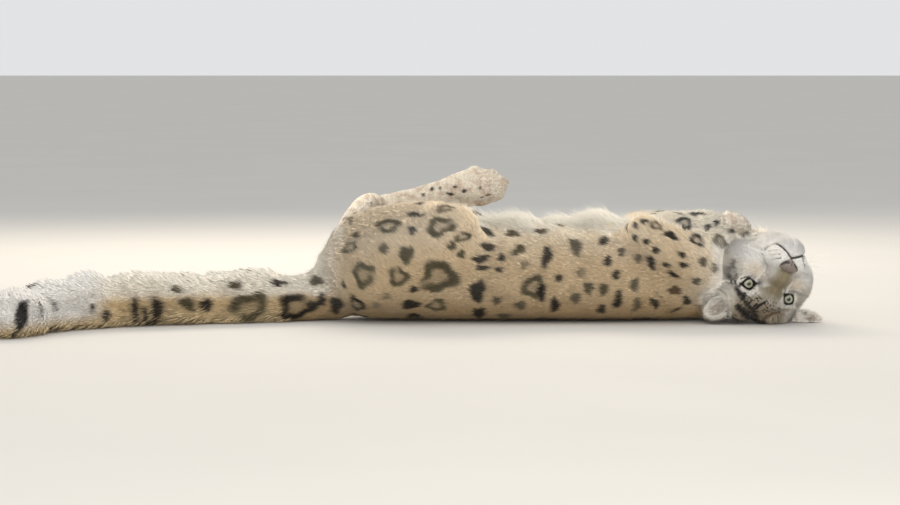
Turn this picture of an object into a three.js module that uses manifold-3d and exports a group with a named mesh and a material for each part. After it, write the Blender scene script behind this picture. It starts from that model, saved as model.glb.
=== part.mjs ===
// A snow leopard lying on its back, life size, in millimetres.
// +X runs along the body towards the head, +Y away from the viewer (the animal's right side) and +Z is up.
// The origin is on the floor under the middle of the back.
import * as THREE from "three";
import { mergeVertices } from "three/addons/utils/BufferGeometryUtils.js";
import Module from "manifold-3d";

const wasm = await Module();
wasm.setup();

const GAP = 0.3; // between touching nodes

// Driving sizes of the animal.
const TRUNK_HALF_WIDTH = 131;
const TRUNK_HALF_HEIGHT = 111;
const EYE_RADIUS = 15;
const EYE_SPACING = 92;
const EAR_RADIUS = 29;
const PAW_HALF_WIDTH = 41;
const FLOOR_DEPTH = 200; // of the block that cuts the flats the animal rests on

// The head is upside down, rolled so that its right side is lower, and turned to face the viewer.
const HEAD_CENTRE = [498, -84, 77];
const HEAD_ROLL = THREE.MathUtils.degToRad(21.8);
const HEAD_YAW = THREE.MathUtils.degToRad(-14);

const COAT = { color: 0xcfc4b0, roughness: 0.95, metalness: 0 };
const PALE_COAT = { color: 0xe6e0d4, roughness: 0.95, metalness: 0 };
const DARK_COAT = { color: 0x8d8577, roughness: 0.95, metalness: 0 };

const V = (p) => new THREE.Vector3(...p);

// Solids.

function solidOf(geometry, frame = new THREE.Matrix4()) {
  const bare = new THREE.BufferGeometry().setAttribute("position", geometry.getAttribute("position").clone());
  if (geometry.index) bare.setIndex(geometry.index.clone());
  bare.applyMatrix4(frame);
  const merged = mergeVertices(bare, 1e-3);
  const corners = merged.index.array;
  const kept = [];
  for (let i = 0; i < corners.length; i += 3) {
    const [a, b, c] = corners.slice(i, i + 3);
    if (a !== b && b !== c && c !== a) kept.push(a, b, c);
  }
  const vertProperties = merged.attributes.position.array;
  const made = new wasm.Manifold(new wasm.Mesh({ numProp: 3, vertProperties, triVerts: new Uint32Array(kept) }));
  if (made.volume() > 0) return made;
  const turned = new Uint32Array(kept);
  for (let i = 0; i < turned.length; i += 3) [turned[i], turned[i + 1]] = [turned[i + 1], turned[i]];
  return new wasm.Manifold(new wasm.Mesh({ numProp: 3, vertProperties, triVerts: turned }));
}

function largest(solid) {
  const bodies = solid.decompose().sort((a, b) => b.volume() - a.volume());
  return bodies[0];
}

function geometryOf(solid, frame) {
  const mesh = solid.getMesh();
  const positions = new Float32Array(mesh.numVert * 3);
  for (let i = 0; i < mesh.numVert; i++) {
    const start = i * mesh.numProp;
    positions.set(mesh.vertProperties.subarray(start, start + 3), i * 3);
  }
  const geometry = new THREE.BufferGeometry().setAttribute("position", new THREE.BufferAttribute(positions, 3));
  geometry.setIndex(new THREE.BufferAttribute(mesh.triVerts, 1));
  geometry.applyMatrix4(frame.clone().invert());
  geometry.computeVertexNormals();
  return geometry;
}

// A closed skin over rings of points, with a pole at each end.
function closedRings(rings, firstPole, lastPole) {
  const sides = rings[0].length;
  const points = [firstPole, ...rings.flat(), lastPole];
  const index = [];
  const at = (ring, side) => 1 + ring * sides + (side % sides);
  for (let j = 0; j < sides; j++) {
    index.push(0, at(0, j + 1), at(0, j));
    index.push(points.length - 1, at(rings.length - 1, j), at(rings.length - 1, j + 1));
    for (let i = 0; i < rings.length - 1; i++) {
      index.push(at(i, j), at(i, j + 1), at(i + 1, j + 1), at(i, j), at(i + 1, j + 1), at(i + 1, j));
    }
  }
  return new THREE.BufferGeometry().setFromPoints(points).setIndex(index);
}

// A rounded body through stations { at, w, h }: its centre, half width across and half height along "up".
// "under" and "over" square off its lower and upper halves, and each end is a half ellipsoid as long as its cap.
class Loft {
  constructor(stations, options = {}) {
    const defaults = { up: [0, 0, 1], sides: 20, perSpan: 3, caps: [30, 30], capRings: 3, under: 2.2, over: 2.2 };
    Object.assign(this, defaults, options);
    this.spans = stations.length - 1;
    this.centre = new THREE.CatmullRomCurve3(stations.map((s) => V(s.at)), false, "catmullrom");
    this.size = new THREE.CatmullRomCurve3(stations.map((s) => V([s.w, s.h, 0])), false, "catmullrom");
  }

  // The frame of the section at t.
  section(t) {
    const along = this.centre.getTangent(t);
    const side = new THREE.Vector3().crossVectors(V(this.up), along).normalize();
    const top = new THREE.Vector3().crossVectors(along, side);
    return { middle: this.centre.getPoint(t), along, side, top, size: this.size.getPoint(t) };
  }

  // Where the skin is at t and at an angle around the section, 90 degrees being its top.
  at(t, angle, grow = 0, shift = 0, scale = 1) {
    const { middle, along, side, top, size } = this.section(t);
    const power = 2 / (Math.sin(angle) < 0 ? this.under : this.over);
    const across = Math.sign(Math.cos(angle)) * Math.abs(Math.cos(angle)) ** power;
    const rise = Math.sign(Math.sin(angle)) * Math.abs(Math.sin(angle)) ** power;
    return middle
      .addScaledVector(along, shift)
      .addScaledVector(side, (size.x + grow) * scale * across)
      .addScaledVector(top, (size.y + grow) * scale * rise);
  }

  // The outward direction there.
  outward(t, angle) {
    const { along } = this.section(t);
    const around = this.at(t, angle + 0.05).sub(this.at(t, angle - 0.05));
    return around.cross(along).normalize();
  }

  geometry(grow = 0) {
    const { caps, capRings, sides, perSpan, spans } = this;
    const ring = (t, shift, scale) =>
      Array.from({ length: sides }, (_, j) => this.at(t, (2 * Math.PI * j) / sides, grow, shift, scale));
    const rings = [];
    for (let k = 1; k < capRings; k++) {
      const angle = (Math.PI / 2) * (k / capRings);
      rings.push(ring(0, -(caps[0] + grow) * Math.cos(angle), Math.sin(angle)));
    }
    const steps = spans * perSpan;
    for (let i = 0; i <= steps; i++) rings.push(ring(i / steps, 0, 1));
    for (let k = capRings - 1; k > 0; k--) {
      const angle = (Math.PI / 2) * (k / capRings);
      rings.push(ring(1, (caps[1] + grow) * Math.cos(angle), Math.sin(angle)));
    }
    return closedRings(rings, this.at(0, 0, 0, -(caps[0] + grow), 0), this.at(1, 0, 0, caps[1] + grow, 0));
  }

  solid(grow = 0) {
    return solidOf(this.geometry(grow));
  }
}

// A ball of given radii, centred in a frame of its own.
function ball(centre, radii, detail = [20, 14]) {
  return new THREE.SphereGeometry(1, ...detail).scale(...radii).translate(...centre);
}

function slab(min, max) {
  const size = max.map((v, i) => v - min[i]);
  return new THREE.BoxGeometry(...size).translate(...min.map((v, i) => v + size[i] / 2));
}

const floor = solidOf(slab([-1500, -800, -FLOOR_DEPTH], [1000, 800, 0]));

// Trunk, from rump to chest. It is broad and flattened where it lies on the floor.

const TRUNK = [
  { at: [-396, 0, 66], w: 66, h: 66 },
  { at: [-345, 0, 88], w: 104, h: 92 },
  { at: [-270, 0, 97], w: 122, h: 102 },
  { at: [-170, 0, 101], w: 127, h: 107 },
  { at: [-60, 0, 103], w: TRUNK_HALF_WIDTH, h: TRUNK_HALF_HEIGHT },
  { at: [50, 0, 98], w: TRUNK_HALF_WIDTH, h: 105 },
  { at: [150, 0, 101], w: 128, h: 109 },
  { at: [250, 0, 102], w: 118, h: 109 },
  { at: [340, 4, 100], w: 108, h: 107 },
  { at: [410, 8, 98], w: 88, h: 98 },
];
const trunkLoft = new Loft(TRUNK, { sides: 24, perSpan: 2, caps: [26, 46], under: 2.7, over: 2.15 });
const trunk = (grow) => trunkLoft.solid(grow);

// Neck, bent towards the viewer to reach the back of the turned head.

const NECK = [
  { at: [388, 6, 101], w: 84, h: 94 },
  { at: [448, -2, 106], w: 88, h: 92 },
  { at: [506, -30, 106], w: 86, h: 86 },
];
const neckLoft = new Loft(NECK, { sides: 16, perSpan: 2, caps: [20, 20], under: 2.4 });
const neck = (grow) => neckLoft.solid(grow);

// Tail, one long tapered body along the floor, parted into four lengths.

const TAIL = [
  { at: [-360, 0, 56], w: 44, h: 46 },
  { at: [-457, -22, 41], w: 39, h: 42 },
  { at: [-560, -52, 41], w: 38, h: 42 },
  { at: [-665, -82, 42], w: 39, h: 43 },
  { at: [-765, -116, 43], w: 40, h: 44 },
  { at: [-858, -166, 42], w: 39, h: 43 },
  { at: [-930, -232, 39], w: 37, h: 40 },
  { at: [-976, -306, 36], w: 35, h: 37 },
  { at: [-1003, -384, 34], w: 31, h: 35 },
];
const TAIL_SIDES = 10;
const TAIL_CUTS = [0.29, 0.54, 0.78]; // where it is parted, as a share of its line
const TAIL_TIP = 62;
const tailLoft = new Loft(TAIL, { sides: TAIL_SIDES, perSpan: 2, caps: [20, TAIL_TIP], under: 2.3 });

// Hind legs, folded: thigh along the flank, shank back over it, foot in the air.

const NEAR_THIGH = [
  { at: [-352, -58, 84], w: 50, h: 66 },
  { at: [-300, -80, 104], w: 62, h: 84 },
  { at: [-215, -108, 146], w: 54, h: 76 },
  { at: [-150, -122, 186], w: 44, h: 58 },
  { at: [-112, -126, 208], w: 38, h: 46 },
];
const NEAR_SHANK = [
  { at: [-118, -120, 212], w: 36, h: 40 },
  { at: [-180, -108, 222], w: 38, h: 38 },
  { at: [-250, -92, 222], w: 34, h: 34 },
  { at: [-322, -74, 212], w: 27, h: 29 },
  { at: [-352, -64, 202], w: 25, h: 27 },
];
const NEAR_FOOT = [
  { at: [-354, -60, 204], w: 26, h: 26 },
  { at: [-342, -22, 218], w: 30, h: 25 },
  { at: [-328, 16, 230], w: 36, h: 27 },
  { at: [-312, 46, 232], w: 38, h: 27 },
  { at: [-296, 62, 224], w: 34, h: 24 },
];
const FAR_THIGH = [
  { at: [-352, 58, 84], w: 50, h: 66 },
  { at: [-300, 80, 102], w: 62, h: 82 },
  { at: [-215, 106, 136], w: 54, h: 72 },
  { at: [-140, 124, 170], w: 44, h: 54 },
  { at: [-100, 130, 188], w: 38, h: 44 },
];
const FAR_SHANK = [
  { at: [-104, 128, 192], w: 36, h: 40 },
  { at: [-170, 124, 204], w: 36, h: 38 },
  { at: [-232, 122, 216], w: 31, h: 33 },
  { at: [-284, 120, 226], w: 25, h: 27 },
];
const FAR_FOOT = [
  { at: [-288, 118, 232], w: 26, h: 27 },
  { at: [-225, 117, 244], w: 28, h: 26 },
  { at: [-160, 116, 260], w: 32, h: 28 },
  { at: [-105, 116, 276], w: 40, h: 31 },
  { at: [-62, 116, 277], w: PAW_HALF_WIDTH, h: 30 },
];

// Forelegs, folded over the chest: elbow up and back, forearm forward, paw limp by the throat.

const NEAR_ARM = [
  { at: [404, -72, 96], w: 46, h: 60 },
  { at: [352, -92, 124], w: 50, h: 60 },
  { at: [290, -112, 164], w: 42, h: 50 },
  { at: [240, -116, 192], w: 34, h: 38 },
];
const NEAR_FOREARM = [
  { at: [236, -112, 198], w: 33, h: 33 },
  { at: [300, -98, 202], w: 33, h: 34 },
  { at: [360, -76, 206], w: 29, h: 31 },
  { at: [402, -60, 209], w: 28, h: 30 },
];
const NEAR_PAW = [
  { at: [406, -58, 209], w: 29, h: 30 },
  { at: [434, -52, 206], w: 34, h: 29 },
  { at: [462, -46, 190], w: 37, h: 25 },
  { at: [478, -44, 172], w: 34, h: 20 },
];
const mirrored = (stations, shift) =>
  stations.map(({ at: [x, y, z], w, h }) => ({ at: [x + shift[0], -y + shift[1], z + shift[2]], w, h }));
const FAR_ARM = mirrored(NEAR_ARM, [4, 2, -4]);
const FAR_FOREARM = mirrored(NEAR_FOREARM, [6, 0, -6]);
const FAR_PAW = mirrored(NEAR_PAW, [6, -2, -8]);

const LEG = { sides: 10, perSpan: 2, capRings: 2 };
const LEG_PARTS = {
  thigh_left: [NEAR_THIGH, { ...LEG, caps: [30, 34] }],
  shank_left: [NEAR_SHANK, { ...LEG, caps: [26, 22] }],
  hind_foot_left: [NEAR_FOOT, { ...LEG, caps: [22, 30], up: [-0.86, 0.1, 0.5] }],
  thigh_right: [FAR_THIGH, { ...LEG, caps: [30, 34] }],
  shank_right: [FAR_SHANK, { ...LEG, caps: [26, 22] }],
  hind_foot_right: [FAR_FOOT, { ...LEG, caps: [20, 30], up: [0, -0.74, 0.67] }],
  upper_arm_left: [NEAR_ARM, { ...LEG, caps: [26, 30] }],
  forearm_left: [NEAR_FOREARM, { ...LEG, caps: [28, 20] }],
  forepaw_left: [NEAR_PAW, { ...LEG, caps: [20, 24] }],
  upper_arm_right: [FAR_ARM, { ...LEG, caps: [26, 30] }],
  forearm_right: [FAR_FOREARM, { ...LEG, caps: [28, 20] }],
  forepaw_right: [FAR_PAW, { ...LEG, caps: [20, 24] }],
};
// Toes: four rounded lobes across the end of a paw, and the pads under them.

const TOES = 4;
const TOE_SIZES = { hind: { radius: 13, reach: 14 }, fore: { radius: 12, reach: 10 } };
function toes(name, grow) {
  const [stations, options] = LEG_PARTS[name];
  const { radius: toeRadius, reach } = TOE_SIZES[name.startsWith("hind") ? "hind" : "fore"];
  const end = stations.at(-1);
  const before = stations.at(-2);
  const along = V(end.at).sub(V(before.at)).normalize();
  const side = new THREE.Vector3().crossVectors(V(options.up ?? [0, 0, 1]), along).normalize();
  const top = new THREE.Vector3().crossVectors(along, side);
  const made = [];
  for (let i = 0; i < TOES; i++) {
    const across = (i - (TOES - 1) / 2) / ((TOES - 1) / 2);
    const forward = reach * (1 - 0.25 * across * across);
    const centre = V(end.at)
      .addScaledVector(along, forward)
      .addScaledVector(side, across * (end.w - toeRadius * 0.62));
    const frame = new THREE.Matrix4().makeBasis(along, side, top).setPosition(centre);
    made.push(solidOf(ball([0, 0, 0], [toeRadius * 1.5, toeRadius, toeRadius * 1.15].map((r) => r + grow), [6, 5]), frame));
  }
  return made;
}

const leg = (name, grow = 0) => {
  const [stations, options] = LEG_PARTS[name];
  let solid = new Loft(stations, options).solid(grow);
  if (/foot|paw/.test(name)) for (const toe of toes(name, grow)) solid = solid.add(toe);
  return solid;
};

// Head, in a frame of its own: +X out of the face, +Y to the animal's left, +Z to its crown.

const headUp = new THREE.Vector3(-Math.sin(HEAD_ROLL), 0, -Math.cos(HEAD_ROLL));
const headLeft = new THREE.Vector3(-Math.cos(HEAD_ROLL), 0, Math.sin(HEAD_ROLL)).applyAxisAngle(headUp, HEAD_YAW);
const headForward = new THREE.Vector3().crossVectors(headLeft, headUp);
const headFrame = new THREE.Matrix4().makeBasis(headForward, headLeft, headUp).setPosition(...HEAD_CENTRE);

// Soft masses of the head: centre and radii. Their blended surface is the head.
const HEAD_MASSES = [
  { at: [-16, 0, 18], r: [72, 66, 64] }, // braincase
  { at: [22, 0, 16], r: [40, 52, 40] }, // forehead
  { at: [4, 46, -34], r: [50, 48, 48] }, // left cheek
  { at: [4, -46, -34], r: [50, 48, 48] }, // right cheek
  { at: [48, 0, -10], r: [36, 32, 36] }, // root of the nose
  { at: [72, 0, -38], r: [34, 25, 28] }, // bridge of the nose
  { at: [74, 19, -66], r: [34, 26, 25] }, // left whisker pad
  { at: [74, -19, -66], r: [34, 26, 25] }, // right whisker pad
  { at: [60, 0, -92], r: [38, 33, 26] }, // chin
  { at: [6, 0, -74], r: [60, 56, 46] }, // lower jaw and throat
];
const HEAD_BLEND = 8;
const HEAD_CORE = [16, 0, -28]; // every line out of this point leaves the head once
const HEAD_TOLERANCE = 0.5; // of the simplified surface
function headRadius(direction) {
  const inside = (distance) => {
    let sum = 0;
    for (const { at, r } of HEAD_MASSES) {
      const x = (HEAD_CORE[0] + direction.x * distance - at[0]) / r[0];
      const y = (HEAD_CORE[1] + direction.y * distance - at[1]) / r[1];
      const z = (HEAD_CORE[2] + direction.z * distance - at[2]) / r[2];
      sum += Math.exp(HEAD_BLEND * (1 - Math.sqrt(x * x + y * y + z * z)));
    }
    return sum > 1;
  };
  let near = 150;
  while (near > 20 && !inside(near)) near -= 2;
  let far = near + 2;
  for (let i = 0; i < 10; i++) {
    const middle = (near + far) / 2;
    if (inside(middle)) near = middle;
    else far = middle;
  }
  return near;
}
const onHead = (point, lift = 0) => {
  const direction = V(point).sub(V(HEAD_CORE)).normalize();
  return V(HEAD_CORE).addScaledVector(direction, headRadius(direction) + lift);
};

const EYES = { left: 1, right: -1 };
const EYE_CENTRE = [40, EYE_SPACING / 2, 5];
const eyeCentre = (hand) => V([EYE_CENTRE[0], hand * EYE_CENTRE[1], EYE_CENTRE[2]]);
// The hollow that each eye lies in.
const SOCKET = { depth: 8, spread: 21 };

function headGeometry(grow = 0) {
  const globe = new THREE.SphereGeometry(1, 30, 22);
  const turn = new THREE.Quaternion().setFromUnitVectors(V([0, 1, 0]), V([0.86, 0, -0.51]));
  const points = globe.getAttribute("position");
  const direction = new THREE.Vector3();
  for (let i = 0; i < points.count; i++) {
    direction.fromBufferAttribute(points, i).applyQuaternion(turn).normalize();
    let radius = headRadius(direction) + grow;
    for (const hand of Object.values(EYES)) {
      const away = direction.clone().multiplyScalar(radius).add(V(HEAD_CORE)).distanceTo(eyeCentre(hand).setX(54));
      radius -= SOCKET.depth * Math.exp(-((away / SOCKET.spread) ** 2));
    }
    direction.multiplyScalar(radius).add(V(HEAD_CORE));
    points.setXYZ(i, ...direction.toArray());
  }
  return globe;
}

// A round bar of even thickness along a closed or open line.
function bar(points, radius, { closed = false, steps = 24, sides = 8 } = {}) {
  const line = new THREE.CatmullRomCurve3(points, closed, "catmullrom");
  const section = new THREE.Shape().absarc(0, 0, radius, 0, 2 * Math.PI);
  return new THREE.ExtrudeGeometry(section, { steps, curveSegments: sides, extrudePath: line, bevelEnabled: false });
}

// The line of the mouth: from one corner, under the whisker pads, to the other.
function mouthLine() {
  const side = [
    [52, 40, -84],
    [68, 33, -91],
    [84, 24, -92],
    [94, 12, -88],
    [98, 3, -81],
  ];
  const other = side.map(([x, y, z]) => [x, -y, z]).reverse();
  return [...side, ...other].map((p) => onHead(p, -0.5));
}

function eyelids(hand) {
  const rim = [];
  const steps = 12;
  for (let i = 0; i < steps; i++) {
    const angle = (2 * Math.PI * i) / steps;
    const across = 19 * Math.cos(angle);
    const rise = 11.5 * Math.sin(angle) * (1 - 0.2 * Math.abs(Math.cos(angle)));
    const tilt = 0.16 * across; // the outer corner lies higher than the inner one
    const back = 0.016 * (across * across + rise * rise) + (across > 0 ? 0.1 * across : 0);
    rim.push(V([53 - back, hand * (EYE_CENTRE[1] + across), EYE_CENTRE[2] + rise + tilt]));
  }
  return bar(rim, 5, { closed: true, steps: 14, sides: 3 });
}

// Ear frames: x out of the cup, z to the tip.
const earFrame = (centre, tip, cup) => {
  const z = V(tip).normalize();
  const y = new THREE.Vector3().crossVectors(z, V(cup)).normalize();
  const x = new THREE.Vector3().crossVectors(y, z);
  return new THREE.Matrix4().makeBasis(x, y, z).setPosition(...centre);
};
// The left ear stands out from the head, and the right one is pressed flat along the floor.
const EARS = {
  left: earFrame([397, -112, 28], [-0.92, 0.05, -0.2], [-0.1, -0.9, 0.35]),
  right: earFrame([588, -78, 15], [0.97, 0, -0.16], [0.2, -0.75, 0.72]),
};
const earOuter = (side, grow = 0) => {
  const radii = [EAR_RADIUS * 0.62, EAR_RADIUS, EAR_RADIUS * 1.12].map((r) => r + grow);
  return solidOf(ball([0, 0, 0], radii, [12, 8]), EARS[side]);
};
const earHollow = (side) => {
  const radii = [EAR_RADIUS * 0.62, EAR_RADIUS * 0.82, EAR_RADIUS * 0.92];
  return solidOf(ball([EAR_RADIUS * 0.36, 0, EAR_RADIUS * 0.1], radii, [10, 7]), EARS[side]);
};

// Long coat: flat locks that taper to a point, bend and lie over one another.

const SINK = 9; // of a lock's root under the skin
const TIP_CLEARANCE = 8; // a slim tip is swollen lengthwise by this many times the gap
const random = (() => {
  let seed = 7;
  return (low, high) => {
    seed = (seed * 1664525 + 1013904223) % 2 ** 32;
    return low + ((high - low) * seed) / 2 ** 32;
  };
})();

// A lock from a root on the skin, with the skin's outward direction and the way the coat lies there.
function lockSolid({ root, outward, lie, length, width, rise, thick = 7 }, grow = 0) {
  const side = new THREE.Vector3().crossVectors(outward, lie).normalize();
  const stations = [
    { along: -0.05, out: -SINK, w: 0.42, t: 0.5 },
    { along: 0.36, out: rise * 0.8, w: 0.5, t: 0.45 },
    { along: 0.74, out: rise, w: 0.34, t: 0.3 },
  ];
  const point = (along, out) =>
    root
      .clone()
      .addScaledVector(lie, along * length)
      .addScaledVector(outward, out);
  const rings = stations.map(({ along, out, w, t }) => {
    const middle = point(along, out);
    const wide = side.clone().multiplyScalar(w * width + grow);
    const deep = outward.clone().multiplyScalar(t * thick + grow);
    const under = outward.clone().multiplyScalar(grow);
    return [middle.clone().add(wide).sub(under), middle.clone().add(deep), middle.clone().sub(wide).sub(under)];
  });
  const last = stations.at(-1);
  const tip = point(1, rise * 0.5);
  const beyond = tip.clone().sub(point(last.along, last.out)).setLength(TIP_CLEARANCE * grow);
  return solidOf(closedRings(rings, point(-0.05, -SINK - 1 - grow), tip.add(beyond)));
}

// Locks in staggered rows over a lofted body. A bed says which stretch and which angles, in degrees, are covered.
function locksOn(body, { from, to, rows, angles, across, length, width, rise, lean = 0, tailward = -1 }) {
  const locks = [];
  for (let i = 0; i < rows; i++) {
    for (let j = 0; j < across; j++) {
      const t = THREE.MathUtils.lerp(from, to, (i + random(0.35, 0.65)) / rows);
      const share = (j + (i % 2 ? 0.25 : -0.25) + 0.5 + random(-0.14, 0.14)) / across;
      const angle = THREE.MathUtils.degToRad(THREE.MathUtils.lerp(...angles, share));
      const outward = body.outward(t, angle);
      const { along } = body.section(t);
      const around = new THREE.Vector3().crossVectors(along, outward);
      const lie = along.clone().multiplyScalar(tailward).addScaledVector(around, lean + random(-0.3, 0.3));
      lie.addScaledVector(outward, -lie.dot(outward)).normalize();
      const scale = random(0.85, 1.15);
      const root = body.at(t, angle);
      locks.push({ root, outward, lie, length: length * scale, width: width * random(0.9, 1.1), rise: rise * scale });
    }
  }
  return locks;
}

// Locks of the head, from roots given in the head's frame. The coat there lies the way "lie" points.
function headLocks(roots, lie, sizes) {
  return roots.map((at) => {
    const outward = V(at).sub(V(HEAD_CORE)).normalize();
    const flat = V(lie).addScaledVector(outward, -V(lie).dot(outward)).normalize();
    return {
      root: onHead(at).applyMatrix4(headFrame),
      outward: outward.transformDirection(headFrame),
      lie: flat.transformDirection(headFrame),
      ...sizes,
    };
  });
}
const cheekLocks = (hand) =>
  headLocks(
    [
      [-10, 90 * hand, -14],
      [-4, 92 * hand, -42],
      [4, 80 * hand, -70],
      [12, 60 * hand, -96],
    ],
    [-0.6, 0.5 * hand, -0.62],
    { length: 40, width: 34, rise: 4, thick: 5 },
  );
const chinLocks = () =>
  headLocks(
    [
      [72, 20, -112],
      [82, 0, -108],
      [72, -20, -112],
    ],
    [-0.3, 0, -0.9],
    { length: 30, width: 24, rise: 2, thick: 4 },
  );

// The nodes, cut clear of one another.

const REACH = 600; // past anything that a tail cut takes away
function tailPiece(i, grow = 0) {
  let piece = tailLoft.solid(grow);
  const cut = (t, towardsTip) => {
    const { middle, along, side, top } = tailLoft.section(t);
    middle.addScaledVector(along, (towardsTip ? 1 : -1) * (REACH - GAP / 2 + grow));
    const frame = new THREE.Matrix4().makeBasis(along, side, top).setPosition(middle);
    return solidOf(new THREE.BoxGeometry(2 * REACH, 2 * REACH, REACH), frame);
  };
  if (i > 0) piece = piece.subtract(cut(TAIL_CUTS[i - 1], false));
  if (i < TAIL_CUTS.length) piece = piece.subtract(cut(TAIL_CUTS[i], true));
  return piece;
}

const headSolid = (grow = 0) => {
  const clear = grow > 0 ? grow + HEAD_TOLERANCE : 0;
  return solidOf(headGeometry(clear), headFrame).simplify(HEAD_TOLERANCE);
};
const eyeBall = (hand, grow = 0) =>
  solidOf(ball(eyeCentre(hand).toArray(), Array(3).fill(EYE_RADIUS + grow), [12, 8]), headFrame);
const NOSE = { at: [103, 0, -60], r: [13, 19, 12] };
const nosePad = (grow = 0) => solidOf(ball(NOSE.at, NOSE.r.map((r) => r + grow), [12, 7]), headFrame);
const nostril = (hand) => solidOf(ball([113, hand * 9.5, -63], [7, 4.6, 3.4], [6, 4]), headFrame);

// The plain body of each node, swollen by a given amount, in the order in which later ones give way.
const BODIES = {
  eye_left: (grow) => eyeBall(EYES.left, grow),
  eye_right: (grow) => eyeBall(EYES.right, grow),
  nose: nosePad,
  torso: trunk,
  neck,
  head: headSolid,
  ear_left: (grow) => earOuter("left", grow),
  ear_right: (grow) => earOuter("right", grow),
};
for (const name of Object.keys(LEG_PARTS)) BODIES[name] = (grow) => leg(name, grow);
for (let i = 0; i <= TAIL_CUTS.length; i++) BODIES[`tail_${i + 1}`] = (grow) => tailPiece(i, grow);

// The locks that grow on each node.
const deg = THREE.MathUtils.degToRad;
const TAIL_LOCK = { angles: [-28, 208], across: 4, length: 92, width: 60, rise: 13, tailward: 1 };
const tailEnds = [0.06, ...TAIL_CUTS, 1];
const LOCKS = {
  head: [...[1, -1].flatMap(cheekLocks), ...chinLocks()],
  neck: locksOn(neckLoft, { from: 0.1, to: 0.8, rows: 2, angles: [40, 215], across: 3, length: 70, width: 56, rise: 9 }),
  torso: [
    ...locksOn(trunkLoft, { from: 0.3, to: 0.78, rows: 5, angles: [60, 120], across: 3, length: 96, width: 60, rise: 15 }),
    ...locksOn(trunkLoft, { from: 0.36, to: 0.8, rows: 4, angles: [-14, 56], across: 2, length: 104, width: 74, rise: 10 }),
    ...locksOn(trunkLoft, { from: 0.36, to: 0.8, rows: 4, angles: [124, 194], across: 2, length: 104, width: 74, rise: 10 }),
  ],
};
for (let i = 0; i <= TAIL_CUTS.length; i++) {
  const rows = i < TAIL_CUTS.length ? 3 : 2;
  LOCKS[`tail_${i + 1}`] = locksOn(tailLoft, { ...TAIL_LOCK, from: tailEnds[i] + 0.01, to: tailEnds[i + 1] - 0.01, rows });
}

const apart = (a, b) => [0, 1, 2].some((k) => a.min[k] > b.max[k] || b.min[k] > a.max[k]);
const grown = {};
for (const [name, body] of Object.entries(BODIES)) grown[name] = body(GAP);

// A solid less every one of the others that it meets.
function clearOf(solid, others) {
  for (const other of others) {
    if (!apart(solid.boundingBox(), other.boundingBox())) solid = solid.subtract(other);
  }
  return solid;
}

const lids = Object.values(EYES).map((hand) => solidOf(eyelids(hand), headFrame));
const names = Object.keys(BODIES);
const grownLocks = [];
const solids = new Map();
names.forEach((name, i) => {
  let solid = BODIES[name](0);
  if (name === "head") {
    for (const lid of lids) solid = solid.add(lid);
    solid = solid.subtract(solidOf(bar(mouthLine(), 2.4, { steps: 16, sides: 3 }), headFrame));
  }
  if (name.startsWith("ear")) solid = solid.subtract(earHollow(name.slice(4)));
  solid = clearOf(solid, names.slice(0, i).map((earlier) => grown[earlier]));
  if (name === "nose") for (const hand of Object.values(EYES)) solid = solid.subtract(nostril(hand));
  if (LOCKS[name]) {
    const others = names.filter((other) => other !== name).map((other) => grown[other]);
    const locks = LOCKS[name].map((lock) => clearOf(lockSolid(lock), [...others, ...grownLocks]));
    solid = wasm.Manifold.union([solid, ...locks]);
    grownLocks.push(...LOCKS[name].map((lock) => lockSolid(lock, GAP)));
  }
  solids.set(name, largest(solid.subtract(floor)));
});

const FINISHES = {
  nose: { color: 0xa58a82, roughness: 0.5, metalness: 0 },
  eye: { color: 0xaeb5a4, roughness: 0.1, metalness: 0 },
};
function finishOf(name) {
  if (name === "nose") return FINISHES.nose;
  if (name.startsWith("eye")) return FINISHES.eye;
  if (name === "tail_4") return DARK_COAT;
  return /head|^ear|foot|paw/.test(name) ? PALE_COAT : COAT;
}

const leopard = new THREE.Group();
for (const [name, solid] of solids) {
  const frame = /head|nose|eye/.test(name) ? headFrame : EARS[name.slice(4)] ?? new THREE.Matrix4();
  const mesh = new THREE.Mesh(geometryOf(solid, frame), new THREE.MeshStandardMaterial(finishOf(name)));
  mesh.name = name;
  frame.decompose(mesh.position, mesh.quaternion, mesh.scale);
  leopard.add(mesh);
}

export default leopard;
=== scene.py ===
# %% [markdown]
# # A snow leopard on its back
#
# A snow leopard's shape is mostly coat: flesh gives the masses, and long soft hair rounds them off.
# So the model is a skin drawn in under the outside of the coat, with hundreds of thousands of thin
# tufts over it. The solids of the frame are already the outside of the coat, and everything here is
# measured from them.

# %% Load the frame
import math

import bmesh
import bpy
import numpy as np
from mathutils import Matrix, Vector
from mathutils.bvhtree import BVHTree
from mathutils.kdtree import KDTree


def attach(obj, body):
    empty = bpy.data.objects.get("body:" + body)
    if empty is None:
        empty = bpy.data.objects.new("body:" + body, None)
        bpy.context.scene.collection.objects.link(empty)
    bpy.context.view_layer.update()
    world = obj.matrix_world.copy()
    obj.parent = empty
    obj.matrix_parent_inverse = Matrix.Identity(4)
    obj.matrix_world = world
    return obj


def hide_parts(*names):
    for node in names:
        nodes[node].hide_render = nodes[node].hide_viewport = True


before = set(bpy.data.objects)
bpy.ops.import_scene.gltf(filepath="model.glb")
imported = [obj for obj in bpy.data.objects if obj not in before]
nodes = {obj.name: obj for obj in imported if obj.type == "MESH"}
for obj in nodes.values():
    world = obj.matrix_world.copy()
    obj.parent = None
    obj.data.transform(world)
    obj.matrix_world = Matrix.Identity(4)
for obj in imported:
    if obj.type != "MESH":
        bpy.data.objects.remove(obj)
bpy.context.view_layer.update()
MM = 0.001
rng = np.random.default_rng(11)
print("nodes:", len(nodes))

# %% [markdown]
# ## The camera
#
# The photograph was taken from the animal's left side, low down and from some way off.
# A real distance and a real scale fix the lens, so the picture plane can be worked back to the body.

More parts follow.
